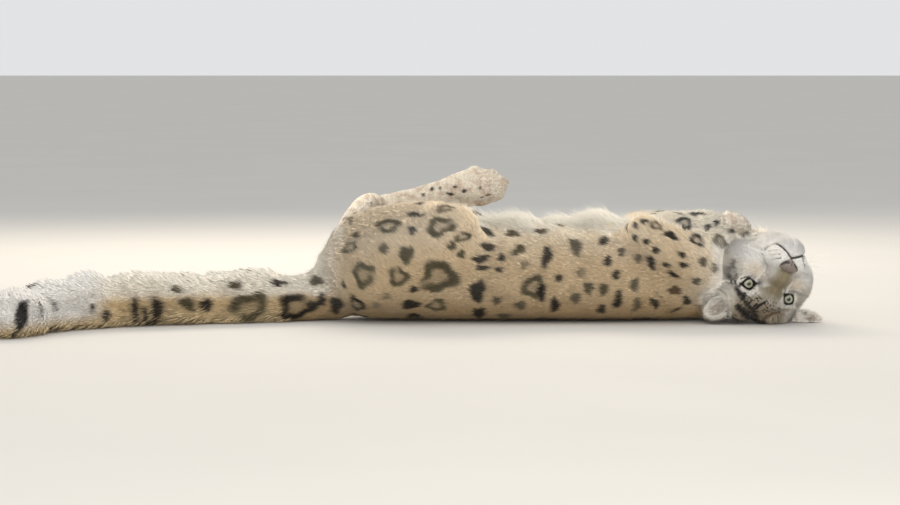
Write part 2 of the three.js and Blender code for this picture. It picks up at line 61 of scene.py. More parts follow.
# %% Camera
PHOTO_SIZE = (900, 505)
PIXELS_PER_METRE = 480
ORIGIN_PIXEL = (520, 319.5)
CAMERA_DISTANCE = 6.0
CAMERA_ANGLE = math.radians(4)
SENSOR_MM = 36

centre_pixel = (PHOTO_SIZE[0] / 2, PHOTO_SIZE[1] / 2)
aim = Vector(
    (
        (centre_pixel[0] - ORIGIN_PIXEL[0]) / PIXELS_PER_METRE,
        0,
        (ORIGIN_PIXEL[1] - centre_pixel[1]) / PIXELS_PER_METRE,
    )
)
forward = Vector((0, math.cos(CAMERA_ANGLE), -math.sin(CAMERA_ANGLE)))
picture_up = Vector((0, math.sin(CAMERA_ANGLE), math.cos(CAMERA_ANGLE)))
eye_point = aim - forward * CAMERA_DISTANCE

lens = bpy.data.cameras.new("camera")
lens.sensor_width = SENSOR_MM
lens.lens = SENSOR_MM * CAMERA_DISTANCE * PIXELS_PER_METRE / PHOTO_SIZE[0]
camera = bpy.data.objects.new("camera", lens)
camera.location = eye_point
camera.rotation_euler = forward.to_track_quat("-Z", "Y").to_euler()
bpy.context.scene.collection.objects.link(camera)
bpy.context.scene.camera = camera
print("lens mm:", round(lens.lens, 1))


def picture_ray(pixel):
    """The direction from the camera through a pixel of the photograph."""
    across = (pixel[0] - centre_pixel[0]) / (PIXELS_PER_METRE * CAMERA_DISTANCE)
    down = (pixel[1] - centre_pixel[1]) / (PIXELS_PER_METRE * CAMERA_DISTANCE)
    return (forward + Vector((across, 0, 0)) - picture_up * down).normalized()


# %% [markdown]
# ## Small helpers
#
# Colours are written as they look on a screen and turned to the linear values that a shader works in.
# A new object is always a mesh at the origin, so that its place is in its own points.


# %% Helpers
def linear(hex_colour):
    """An sRGB hex colour as linear red, green and blue."""
    parts = [int(hex_colour[i : i + 2], 16) / 255 for i in (1, 3, 5)]
    return np.array([c / 12.92 if c <= 0.04045 else ((c + 0.055) / 1.055) ** 2.4 for c in parts])


def add_node(tree, kind, settings=None, **links):
    """Adds a shader node. A link is the name of an input and what feeds it: a socket, or a value."""
    made = tree.nodes.new(kind)
    for key, value in (settings or {}).items():
        setattr(made, key, value)
    for key, value in links.items():
        socket = made.inputs[int(key[1:]) if key[0] == "i" and key[1:].isdigit() else key.replace("_", " ")]
        if isinstance(value, bpy.types.NodeSocket):
            tree.links.new(value, socket)
        else:
            socket.default_value = value
    return made


def link_object(name, mesh):
    piece = bpy.data.objects.new(name, mesh)
    bpy.context.scene.collection.objects.link(piece)
    return piece


def object_from(name, bm):
    """Puts a bmesh into a new object with smooth faces."""
    for face in bm.faces:
        face.smooth = True
    mesh = bpy.data.meshes.new(name)
    bm.to_mesh(mesh)
    bm.free()
    return link_object(name, mesh)


def finish_modifiers(piece):
    """Replaces a piece's mesh by what its modifiers make of it."""
    graph = bpy.context.evaluated_depsgraph_get()
    mesh = bpy.data.meshes.new_from_object(piece.evaluated_get(graph))
    piece.modifiers.clear()
    piece.data = mesh
    return mesh


def points_of(mesh):
    flat = np.empty(len(mesh.vertices) * 3, np.float32)
    mesh.vertices.foreach_get("co", flat)
    return flat.reshape(-1, 3).astype(float)


def normals_of(mesh):
    flat = np.empty(len(mesh.vertices) * 3, np.float32)
    mesh.vertex_normals.foreach_get("vector", flat)
    return flat.reshape(-1, 3).astype(float)


def move_points(mesh, points):
    mesh.vertices.foreach_set("co", np.ascontiguousarray(points, np.float32).ravel())
    mesh.update()


def unit(vectors):
    return vectors / np.maximum(np.linalg.norm(vectors, axis=-1, keepdims=True), 1e-9)


def step(low, high, value):
    """A smooth step from 0 at low to 1 at high."""
    t = np.clip((np.asarray(value, float) - low) / (high - low), 0, 1)
    return t * t * (3 - 2 * t)


def blotches(points, size, seed=0):
    """Soft noise from -1 to 1 with features of a given size in metres."""
    q = points / size + np.array([seed * 17.3, seed * 5.1, seed * 9.7])
    total = np.zeros(len(points))
    for k, (a, b, c) in enumerate([(1, 0.6, 0.3), (-0.5, 1, 0.7), (0.8, -0.4, 1), (-0.9, -0.7, 0.5)]):
        bend = np.sin(1.7 * (q @ np.array([b, c, a])) + 2.1 * k + seed)
        total += np.sin(q @ np.array([a, b, c]) * (1.2 + 0.35 * k) + 1.6 * bend + 1.3 * k)
    return total / 4


# %% [markdown]
# ## Lines along the body
#
# Hair lies along the body: from the head towards the tail, down each leg to the toes, and along the tail.
# A line through the middle of each part gives that direction anywhere on the skin, and says how long
# the hair is there and how far the skin lies under the outside of the coat.

# %% The lines of the body
TAIL_LINE = [
    (-385, -4, 54),
    (-457, -22, 46),
    (-560, -52, 46),
    (-665, -82, 47),
    (-765, -116, 48),
    (-858, -166, 47),
    (-930, -232, 44),
    (-976, -306, 40),
    (-1003, -384, 38),
    (-1022, -440, 37),
]
# Points along the middle of each part, and its radius, in millimetres.
LINES = {
    "trunk": ([(420, 2, 98), (250, 0, 104), (50, 0, 100), (-170, 0, 101), (-390, 0, 72)], 116),
    "neck": ([(500, -28, 106), (448, -2, 106), (390, 6, 101)], 88),
    "tail": (TAIL_LINE, 46),
    "thigh_left": ([(-330, -68, 92), (-215, -108, 146), (-112, -126, 208)], 62),
    "shank_left": ([(-118, -120, 212), (-250, -92, 222), (-352, -64, 202)], 34),
    "foot_left": ([(-354, -60, 204), (-328, 16, 230), (-290, 66, 220)], 30),
    "thigh_right": ([(-330, 68, 92), (-215, 106, 136), (-100, 130, 188)], 62),
    "shank_right": ([(-104, 128, 192), (-232, 122, 216), (-284, 120, 226)], 34),
    "foot_right": ([(-288, 118, 232), (-160, 116, 260), (-40, 116, 277)], 32),
    "arm_left": ([(400, -76, 98), (352, -92, 124), (232, -118, 196)], 46),
    "forearm_left": ([(236, -112, 198), (300, -98, 202), (402, -60, 209)], 32),
    "paw_left": ([(406, -58, 209), (434, -52, 206), (482, -43, 168)], 33),
    "arm_right": ([(404, 78, 94), (356, 94, 120), (236, 120, 192)], 46),
    "forearm_right": ([(242, 112, 192), (306, 98, 196), (408, 60, 203)], 32),
    "paw_right": ([(412, 56, 201), (440, 50, 198), (488, 41, 160)], 33),
}
# Hair length and depth of the coat in millimetres, and tufts to the square metre.
COAT = {
    "trunk": (16, 9, 250e3),
    "neck": (22, 8, 300e3),
    "tail": (21, 1, 340e3),
    "thigh": (16, 8, 270e3),
    "shank": (14, 6, 290e3),
    "foot": (8, 4, 340e3),
    "arm": (16, 7, 270e3),
    "forearm": (13, 6, 290e3),
    "paw": (8, 4, 340e3),
}
LINE_STEP = 12


def sampled_lines():
    """Points along every line, with the direction, the radius and the line's place in the list."""
    places, directions, radii, ids, along = [], [], [], [], []
    for k, (points, radius) in enumerate(LINES.values()):
        travelled = 0
        for a, b in zip(points, points[1:]):
            a, b = np.array(a, float), np.array(b, float)
            span = np.linalg.norm(b - a)
            for s in np.arange(0, span, LINE_STEP):
                places.append(a + (b - a) * s / span)
                directions.append((b - a) / span)
                radii.append(radius)
                ids.append(k)
                along.append(travelled + s)
            travelled += span
    return [np.array(v, float) for v in (places, directions, radii, ids, along)]


line_points, line_directions, line_radii, line_ids, line_along = sampled_lines()
line_names = list(LINES)
coat_rows = np.array([COAT[name.split("_")[0]] for name in line_names], float)


def body_field(points):
    """For points in metres: the nearest sample of the lines, and the coat's blended direction and sizes."""
    near, lie, sizes = [], [], []
    table = coat_rows[line_ids.astype(int)]
    for chunk in np.array_split(points * 1000, max(1, len(points) // 20000)):
        square = (chunk**2).sum(1)[:, None] + (line_points**2).sum(1)[None] - 2 * chunk @ line_points.T
        gap = np.sqrt(np.maximum(square, 0)) / line_radii
        near.append(gap.argmin(1))
        weight = np.exp(-7 * (gap - gap.min(1, keepdims=True)))
        weight /= weight.sum(1, keepdims=True)
        lie.append(weight @ line_directions)
        sizes.append(weight @ table)
    return np.concatenate(near), unit(np.concatenate(lie)), np.concatenate(sizes)


def part_names(nearest):
    """The part of the body, by the nearest sample of the lines."""
    return np.array([name.split("_")[0] for name in line_names])[line_ids.astype(int)[nearest]]


print("line points:", len(line_points))

# %% [markdown]
# ## The skin of the body
#
# The solids of the body are copied, joined and closed over by a voxel remesh, which melts them into
# one surface. Smoothing then takes the locks and the flat facets out. The surface is swollen and drawn
# back, which fills the folds between the limbs and the trunk, and then drawn in by the depth of the
# coat. The feet are done apart, with less smoothing, so that their toes stay.


# %% Join the solids of the body
def melted(name, bm, voxel, rounds):
    """One smooth closed surface over everything in a bmesh."""
    bmesh.ops.remove_doubles(bm, verts=bm.verts, dist=1e-6)
    piece = object_from(name, bm)
    remeshed(piece, voxel, rounds)
    return piece


def remeshed(piece, voxel, rounds):
    close = piece.modifiers.new("close", "REMESH")
    close.mode = "VOXEL"
    close.voxel_size = voxel
    ease = piece.modifiers.new("ease", "SMOOTH")
    ease.factor = 0.5
    ease.iterations = rounds
    finish_modifiers(piece)


def copies_of(parts):
    bm = bmesh.new()
    for part in parts:
        bm.from_mesh(nodes[part].data)
    return bm


def add_ball(bm, place, radii):
    made = bmesh.ops.create_uvsphere(bm, u_segments=20, v_segments=14, radius=1)["verts"]
    bmesh.ops.scale(bm, vec=Vector(radii) * MM, verts=made)
    bmesh.ops.translate(bm, vec=Vector(place) * MM, verts=made)


def drawn_in(piece, voxel, rounds):
    """Moves a surface in by the depth of the coat, in small steps with a fresh mesh after each."""
    for _ in range(rounds):
        points = points_of(piece.data)
        depth = body_field(points)[2][:, 1] * MM / rounds
        move_points(piece.data, points - normals_of(piece.data) * depth[:, None])
        remeshed(piece, voxel, 2)
    return piece


def closed_up(piece, reach, voxel):
    """Swells a surface and draws it back, which fills the narrow folds between limbs and trunk."""
    for way in (1, 1, -1, -1):
        points = points_of(piece.data)
        move_points(piece.data, points + normals_of(piece.data) * (way * reach / 2))
        remeshed(piece, voxel, 3)
    return piece


def combine(piece, other, operation):
    """Joins or cuts a closed piece with another, which is used up."""
    cut = piece.modifiers.new("combine", "BOOLEAN")
    cut.operation = operation
    cut.solver = "MANIFOLD"
    cut.object = other
    finish_modifiers(piece)
    bpy.data.objects.remove(other)
    return piece


TRUNK = ["torso", "neck", "thigh_left", "thigh_right", "shank_left", "upper_arm_left", "upper_arm_right"]
FORELEGS = ["forearm_left", "forearm_right"]
TAIL = [name for name in nodes if name.startswith("tail")]
# Flesh and fur that fill the hollows: beside the neck, at the root of the tail, under the near wrist
# and behind the near heel.
HOLLOWS = [
    ((436, -40, 98), (50, 56, 78)),
    ((430, -56, 52), (46, 42, 44)),
    ((462, 20, 96), (60, 62, 82)),
    ((-384, -8, 60), (66, 62, 68)),
    ((-436, -20, 48), (60, 52, 60)),
    ((-490, -34, 46), (60, 49, 55)),
    ((300, -98, 203), (52, 36, 35)),
    ((372, -72, 207), (50, 36, 34)),
    ((410, -56, 204), (34, 34, 30)),
    ((-396, -36, 126), (30, 60, 34)),
    ((-376, -36, 166), (28, 50, 32)),
    ((-358, -34, 200), (24, 40, 26)),
]
# Sizes in metres and rounds of smoothing.
BODY_VOXEL = 0.0066
BODY_ROUNDS = 12
FOLD_REACH = 0.020
FOOT_VOXEL = 0.0042
FOOT_ROUNDS = 9

bm = copies_of([*TRUNK, *FORELEGS, *TAIL])
for place, radii in HOLLOWS:
    add_ball(bm, place, radii)
trunk = melted("trunk", bm, BODY_VOXEL, BODY_ROUNDS)
trunk = closed_up(trunk, FOLD_REACH, BODY_VOXEL)
trunk = drawn_in(trunk, BODY_VOXEL, 1)
print("trunk faces:", len(trunk.data.polygons))

# %% Join the feet on
# Balls that melt into each foot: centre and radii in millimetres.
FAR_TOES = [
    ((-84, 116, 267), (52, 36, 41)),
    ((-92, 112, 300), (24, 21, 21)),
    ((-58, 112, 297), (22, 21, 20)),
    ((-39, 114, 278), (22, 21, 21)),
    ((-44, 118, 253), (22, 21, 20)),
    ((-80, 122, 244), (32, 24, 22)),
]
NEAR_HEEL = [
    ((-318, 36, 240), (20, 30, 20)),
    ((-346, -22, 222), (17, 26, 20)),
    ((-362, -34, 196), (15, 22, 20)),
]
FAR_FOOT_END = -105


def cut_at(bm, x_mm):
    """Takes the end of a closed piece off beyond x in millimetres, so that the toes can take its place."""
    everything = list(bm.verts) + list(bm.edges) + list(bm.faces)
    cut = bmesh.ops.bisect_plane(
        bm, geom=everything, plane_co=(x_mm * MM, 0, 0), plane_no=(1, 0, 0), clear_outer=True
    )
    bmesh.ops.holes_fill(bm, edges=[e for e in cut["geom_cut"] if isinstance(e, bmesh.types.BMEdge)], sides=0)


bm = copies_of(["hind_foot_right"])
bmesh.ops.remove_doubles(bm, verts=bm.verts, dist=1e-6)
cut_at(bm, FAR_FOOT_END)
for part in ["shank_right", "hind_foot_left", "forepaw_left", "forepaw_right"]:
    bm.from_mesh(nodes[part].data)
for place, radii in FAR_TOES + NEAR_HEEL:
    add_ball(bm, place, radii)
limbs = drawn_in(melted("limbs", bm, FOOT_VOXEL, FOOT_ROUNDS), FOOT_VOXEL, 2)
print("limb faces:", len(limbs.data.polygons))
body = combine(trunk, limbs, "UNION")
print("body faces:", len(body.data.polygons))

# %% [markdown]
# ## The head
#
# The head is upside down, rolled a little and turned to look out at the viewer. It is sculpted in a
# frame of its own: x out of the face, y to the animal's left and z to its crown. A fine ball is pushed
# out to a blend of soft masses, and small features are then pressed in or raised along each ray.

# %% The head's frame and masses
HEAD_CENTRE = Vector((498, -84, 77)) * MM
HEAD_ROLL = math.radians(21.8)
HEAD_YAW = math.radians(-12)
head_z = Vector((-math.sin(HEAD_ROLL), 0, -math.cos(HEAD_ROLL)))
head_y = Matrix.Rotation(HEAD_YAW, 3, head_z) @ Vector((-math.cos(HEAD_ROLL), 0, math.sin(HEAD_ROLL)))
head_x = head_y.cross(head_z)
HEAD_AXES = np.array([head_x, head_y, head_z])
HEAD_ORIGIN = np.array(HEAD_CENTRE)


def to_head(points):
    """Metres in the shared frame to millimetres in the head's frame."""
    return (points - HEAD_ORIGIN) @ HEAD_AXES.T * 1000


def from_head(points):
    return HEAD_ORIGIN + np.asarray(points, float) * MM @ HEAD_AXES


# Centre and radii of each soft mass. The ones with a y stand for a pair.
SOFT_MASSES = [
    ((-16, 0, 18), (72, 66, 64)),  # braincase
    ((22, 0, 16), (40, 52, 40)),  # forehead
    ((4, 46, -34), (50, 48, 48)),  # cheek
    ((-14, 62, -22), (46, 42, 52)),  # ruff beside the cheek
    ((-10, 52, 38), (42, 42, 42)),  # root of the ear
    ((14, 38, 62), (32, 34, 32)),  # side of the crown
    ((12, 47, 4), (33, 31, 34)),  # cheekbone and temple
    ((48, 0, -10), (36, 32, 36)),  # root of the nose
    ((71, 0, -37), (35, 28, 28)),  # bridge of the nose
    ((74, 20, -68), (33, 26, 24)),  # whisker pad
    ((60, 0, -92), (38, 33, 26)),  # chin
    ((6, 0, -74), (60, 56, 46)),  # lower jaw and throat
]
mirrored_masses = [((x, -y, z), radii) for (x, y, z), radii in SOFT_MASSES if y]
HEAD_MASSES = np.array(SOFT_MASSES + mirrored_masses, float)
HEAD_BLEND = 9
HEAD_CORE = np.array([16.0, 0, -28])


def head_reach(directions):
    """How far the blended masses reach from the core along each direction."""

    def inside(distance):
        q = HEAD_CORE + directions * distance[:, None]
        total = np.zeros(len(q))
        for centre, radii in HEAD_MASSES:
            total += np.exp(HEAD_BLEND * (1 - np.linalg.norm((q - centre) / radii, axis=1)))
        return total > 1

    reach = np.full(len(directions), 20.0)
    found = np.zeros(len(directions), bool)
    for distance in np.arange(150, 20, -4.0):
        now = inside(np.full(len(directions), distance)) & ~found
        reach[now] = distance
        found |= now
    low, high = reach, reach + 4
    for _ in range(6):
        middle = (low + high) / 2
        is_in = inside(middle)
        low, high = np.where(is_in, middle, low), np.where(is_in, high, middle)
    return low


# %% [markdown]
# The lids, the lips and the folds round the nose are what makes the face alive. Each is a small
# function of the place on the face, in millimetres, and they simply add up.

# %% Sculpt the face
EYE_SPACING = 92
EYE_HEIGHT = 5
EYE_RADIUS = 15
EYE_DEPTH = 33
EYE_CENTRES = {hand: np.array([EYE_DEPTH, hand * EYE_SPACING / 2, EYE_HEIGHT]) for hand in (1, -1)}
LID_RADIUS = EYE_RADIUS + 1.8
OPENING = (12.2, 8.6)  # half width and half height between the lids
EYE_SLANT = 0.42
# Points near one half of the lip line, from the corner of the mouth to its middle.
MOUTH_SIDE = [
    (46, 42, -76),
    (54, 37, -84),
    (65, 33, -91),
    (77, 29, -92),
    (88, 21, -87),
    (95, 11, -82),
    (98, 2, -79),
]


def eye_plane(q, hand):
    """Across and up from the middle of the eye, the outer corner being positive and raised."""
    across = (q[:, 1] - hand * EYE_SPACING / 2) * hand
    up = q[:, 2] - EYE_HEIGHT
    c, s = math.cos(EYE_SLANT), math.sin(EYE_SLANT)
    return across * c + up * s, up * c - across * s


def lid_ring(q, hand):
    """1 on the edge of the lids, less inside and more outside."""
    across, up = eye_plane(q, hand)
    a = across / OPENING[0]
    b = up / (OPENING[1] * (1.08 - 0.5 * np.minimum(np.abs(a), 1.3) ** 1.7))
    ring = np.hypot(a, b)
    return np.where(q[:, 0] > 12, ring, 9)


def bump(q, centre, spread):
    return np.exp(-(((q - np.array(centre)) / spread) ** 2).sum(1))


def on_masses(point):
    direction = np.array(point, float) - HEAD_CORE
    direction /= np.linalg.norm(direction)
    return HEAD_CORE + direction * head_reach(direction[None])[0]


def smooth_line(points, count):
    """More points along a broken line, rounded at its corners."""
    points = np.array(points, float)
    t = np.linspace(0, len(points) - 1, count)
    i = np.clip(t.astype(int), 0, len(points) - 2)
    f = (t - i)[:, None]
    p0, p1 = points[np.maximum(i - 1, 0)], points[i]
    p2, p3 = points[i + 1], points[np.minimum(i + 2, len(points) - 1)]
    square = 2 * p0 - 5 * p1 + 4 * p2 - p3
    cube = 3 * p1 - p0 - 3 * p2 + p3
    return 0.5 * (2 * p1 + (p2 - p0) * f + square * f**2 + cube * f**3)


half_mouth = [on_masses(p) for p in MOUTH_SIDE]
mouth = smooth_line(half_mouth + [p * (1, -1, 1) for p in reversed(half_mouth)], 90)
MOUTH_SINK = 5.5  # from the soft masses to the bottom of the lip line, in millimetres
mouth_on_skin = mouth - unit(mouth - HEAD_CORE) * MOUTH_SINK


def distance_to(q, line):
    return np.linalg.norm(q[:, None] - line[None], axis=2).min(1)


def face_depth(q):
    """Depth of the coat over the head: thin on the muzzle and deeper towards the neck."""
    return 10 - 6.5 * step(-20, 75, q[:, 0])


def face_relief(q):
    """What the features add to the surface of the head, in millimetres."""
    relief = -face_depth(q)
    for hand in (1, -1):
        relief -= 4.0 * bump(q, (50, hand * 43, 4), (30, 21, 18))
        relief += 4.5 * bump(q, (46, hand * 34, 26), (18, 20, 10))
        relief += 2.5 * bump(q, (46, hand * 56, -22), (20, 16, 12))
        relief += 3.5 * bump(q, (78, hand * 22, -68), (20, 14, 13))
        relief -= 3.0 * bump(q, (74, hand * 28, -44), (18, 9, 12))
        relief -= 3.0 * bump(q, (52, hand * 25, -2), (14, 8, 14))
    relief -= 2.5 * bump(q, (60, 0, 20), (16, 6, 22))
    relief -= 3.0 * bump(q, (104, 0, -76), (12, 1.8, 7))
    away = distance_to(q, mouth)
    relief -= 4.0 * np.exp(-((away / 2.2) ** 2))
    relief += 1.6 * np.exp(-(((away - 5.5) / 2.6) ** 2))
    pad = np.hypot(q[:, 1] / 20, (q[:, 2] + 61) / 11)
    relief -= 6.0 * (1 - step(0.75, 1.0, pad)) * (q[:, 0] > 60)
    return relief


def with_lids(directions, distance):
    """Lays the lids over the ball of each eye, and opens them."""
    for centre in EYE_CENTRES.values():
        offset = centre - HEAD_CORE
        along = directions @ offset
        inside = LID_RADIUS**2 - offset @ offset + along**2
        hits = (inside > 0) & (along > 0)
        lid = np.where(hits, along + np.sqrt(np.maximum(inside, 0)), 0)
        on_lid = HEAD_CORE + directions * lid[:, None]
        ring = lid_ring(on_lid, np.sign(centre[1]))
        raised = 0.5 * (distance + lid + np.hypot(distance - lid, 2.0)) - 0.6
        raised += 1.0 * np.exp(-(((ring - 1.12) / 0.1) ** 2))
        raised -= 1.4 * np.exp(-(((ring - 1.75) / 0.16) ** 2))
        opened = np.where(ring < 1.0, lid - 5.0, raised)
        distance = np.where(hits, opened, distance)
    return distance


FINE_RING = 2.6
MUZZLE_WAY = Vector((0.88, 0, -0.47))
MUZZLE_COSINE = 0.9


def near_features(v):
    """True for a point of the ball round an eye or on the muzzle, where the mesh has to be fine."""
    if v.co.normalized().dot(MUZZLE_WAY) > MUZZLE_COSINE:
        return True
    q = np.array([v.co]) * 100 + HEAD_CORE
    return any(lid_ring(q, hand)[0] < FINE_RING for hand in (1, -1))


def sculpted_head():
    """The head, from a ball with a finer mesh in front and the finest round its features."""
    bm = bmesh.new()
    bmesh.ops.create_icosphere(bm, subdivisions=6, radius=1)
    for wanted in (lambda v: v.co.normalized().x > 0.3, near_features):
        chosen = {v for v in bm.verts if wanted(v)}
        edges = [e for e in bm.edges if all(v in chosen for v in e.verts)]
        bmesh.ops.subdivide_edges(bm, edges=edges, cuts=1, use_grid_fill=True)
        bmesh.ops.triangulate(bm, faces=bm.faces)
    head = object_from("head", bm)
    directions = unit(points_of(head.data))
    reach = head_reach(directions)
    surface = HEAD_CORE + directions * reach[:, None]
    relief = np.concatenate([face_relief(q) for q in np.array_split(surface, 16)])
    distance = with_lids(directions, reach + relief)
    move_points(head.data, from_head(HEAD_CORE + directions * distance[:, None]))
    to_eye = EYE_CENTRES[1] - HEAD_CORE
    face_reach = float(head_reach(unit(to_eye)[None])[0])
    print("face at the eye:", round(face_reach, 1), "ball:", round(float(np.linalg.norm(to_eye)), 1))
    return head


head = sculpted_head()
print("head faces:", len(head.data.polygons))

# %% [markdown]
# ## The ears
#
# A snow leopard's ears are small, round and thick with fur. Each is a rounded shell, hollowed from the
# front, so it reads as a cup from any side. The left one stands out; the right one lies on the floor.

# %% Ears
EAR_RADIUS = 27 * MM
# Shift and radii, in radii of the ear, and the rows of each ball.
EAR_BALL = ((0, 0, -0.15), (0.5, 0.9, 1.25), 24)
EAR_HOLLOW = ((0.44, 0, 0.05), (0.6, 0.74, 0.98), 22)


def ear_axes(tip, cup):
    """Axes of an ear: x out of its cup, y across it and z to its tip."""
    z = Vector(tip).normalized()
    y = z.cross(Vector(cup)).normalized()
    return Matrix((y.cross(z), y, z)).transposed()


# Place, axes and scale of each ear.
EARS = {
    "left": (Vector((403, -110, 33)) * MM, ear_axes((-0.84, 0.0, -0.5), (-0.45, -0.8, 0.3)), 1.0),
    "right": (Vector((592, -72, 8)) * MM, ear_axes((0.97, 0, -0.2), (0.2, -0.75, 0.72)), 0.76),
}


def ear_shell(side):
    """The ball of an ear, a little sunk at the root, and the smaller ball to cut from its front."""
    place, axes, scale = EARS[side]
    made = []
    for shift, radii, rows in (EAR_BALL, EAR_HOLLOW):
        bm = bmesh.new()
        bmesh.ops.create_uvsphere(bm, u_segments=36, v_segments=rows, radius=1)
        bmesh.ops.scale(bm, vec=Vector(radii) * EAR_RADIUS * scale, verts=bm.verts)
        bmesh.ops.translate(bm, vec=Vector(shift) * EAR_RADIUS * scale, verts=bm.verts)
        bmesh.ops.transform(bm, matrix=Matrix.Translation(place) @ axes.to_4x4(), verts=bm.verts)
        made.append(object_from(f"ear_{side}_{len(made)}", bm))
    return made


skin = combine(body, head, "UNION")
for side in EARS:
    shell, hollow = ear_shell(side)
    skin = combine(skin, combine(shell, hollow, "DIFFERENCE"), "UNION")
skin.name = "skin"

# %% [markdown]
# Where pieces were joined on, the creases in the skin are eased by smoothing that fades out away from
# them. The face, the ears and the tail are left as they are.

# %% Ease the creases
CREASE_ANGLE = 0.42
EASE_REACH = 0.038
EASE_ROUNDS = 80
TAIL_ROOT = (-0.40, -0.34)
WRIST_HEIGHT = 0.20
SKIN_WELD = 0.00005
SKIN_FLOOR = 0.0012


def crease_weights(bm):
    """1 close to a sharp crease, falling to 0 further off, and 0 on the face, the ears and the tail."""
    places = np.array([v.co for v in bm.verts])
    head_points = to_head(places)
    on_face = (head_points[:, 0] > 26) & (np.abs(head_points[:, 1]) < 72)
    on_face &= np.linalg.norm(head_points, axis=1) < 150
    creases = [
        v.index
        for v, front in zip(bm.verts, on_face)
        if not front and any(e.calc_face_angle(0) > CREASE_ANGLE for e in v.link_edges)
    ]
    tree = KDTree(len(creases))
    for k, index in enumerate(creases):
        tree.insert(bm.verts[index].co, k)
    tree.balance()
    gap = np.array([tree.find(v.co)[2] for v in bm.verts])
    fade = 1 - step(0.012, EASE_REACH, gap)
    for place, _, _ in EARS.values():
        away = np.linalg.norm(places - np.array(place), axis=1)
        fade *= step(0.026, 0.040, away)
    fade *= step(*TAIL_ROOT, places[:, 0])
    return fade * ~on_face * np.where(places[:, 2] > WRIST_HEIGHT, 0.5, 1)


bm = bmesh.new()
bm.from_mesh(skin.data)
bmesh.ops.remove_doubles(bm, verts=bm.verts, dist=SKIN_WELD)
bm.verts.ensure_lookup_table()
weights = crease_weights(bm)
bmesh.ops.triangulate(bm, faces=bm.faces)
bm.to_mesh(skin.data)
bm.free()
group = skin.vertex_groups.new(name="creases")
for index in np.flatnonzero(weights > 0.02):
    group.add([int(index)], float(weights[index]), "REPLACE")
ease = skin.modifiers.new("ease", "SMOOTH")
ease.factor = 0.6
ease.iterations = EASE_ROUNDS
ease.vertex_group = "creases"
finish_modifiers(skin)
skin.vertex_groups.clear()
skin_points = points_of(skin.data)
skin_points[:, 2] = np.maximum(skin_points[:, 2], SKIN_FLOOR)
move_points(skin.data, skin_points)
print("skin triangles:", len(skin.data.polygons))

skin_tree = BVHTree.FromPolygons(
    [tuple(p) for p in skin_points], [tuple(f.vertices) for f in skin.data.polygons], all_triangles=True
)


def head_share(points):
    """1 on the head, 0 on the body, and soft between them at the neck."""
    q = to_head(points)
    rays = q - HEAD_CORE
    size = np.linalg.norm(rays, axis=1)
    near = size < 175
    share = np.zeros(len(points))
    if near.any():
        over = size[near] - head_reach(rays[near] / size[near, None])
        share[near] = 1 - step(0, 20, over)
    for centre in EYE_CENTRES.values():
        share = np.maximum(share, 1 - step(26, 36, np.linalg.norm(q - centre, axis=1)))
    for place, _, _ in EARS.values():
        share = np.maximum(share, 1 - step(0.034, 0.042, np.linalg.norm(points - np.array(place), axis=1)))
    return share


# %% [markdown]
# ## The markings
#
# A snow leopard is cream and smoke grey, with black-edged rosettes on its sides, solid spots on its legs
# and head, and bars round its tail. Each mark on the side towards the viewer is placed where it is seen,
# by a ray onto the skin. The marks that the picture doesn't show are scattered at random.

# %% Colours of the coat
BUFF = linear("#e6cfab")
CREAM = linear("#fef6e9")
WARM_CREAM = linear("#fff0d8")
LOW_BUFF = linear("#c4a87f")
WHITE = linear("#fbf8f4")
TAIL_BUFF = linear("#e0c9a0")
PAW_TAN = linear("#cbb09c")
HEAD_GREY = linear("#faf4ea")
NOSE_OLIVE = linear("#897a54")
FOREHEAD = linear("#8c7b60")
CHIN = linear("#d3d1d0")
TONES = {
    "black": linear("#14110f"),
    "dark": linear("#352f27"),
    "olive": linear("#625a42"),
    "brown": linear("#6a563c"),
    "grey": linear("#6f6754"),
    "faint": linear("#a3957a"),
}

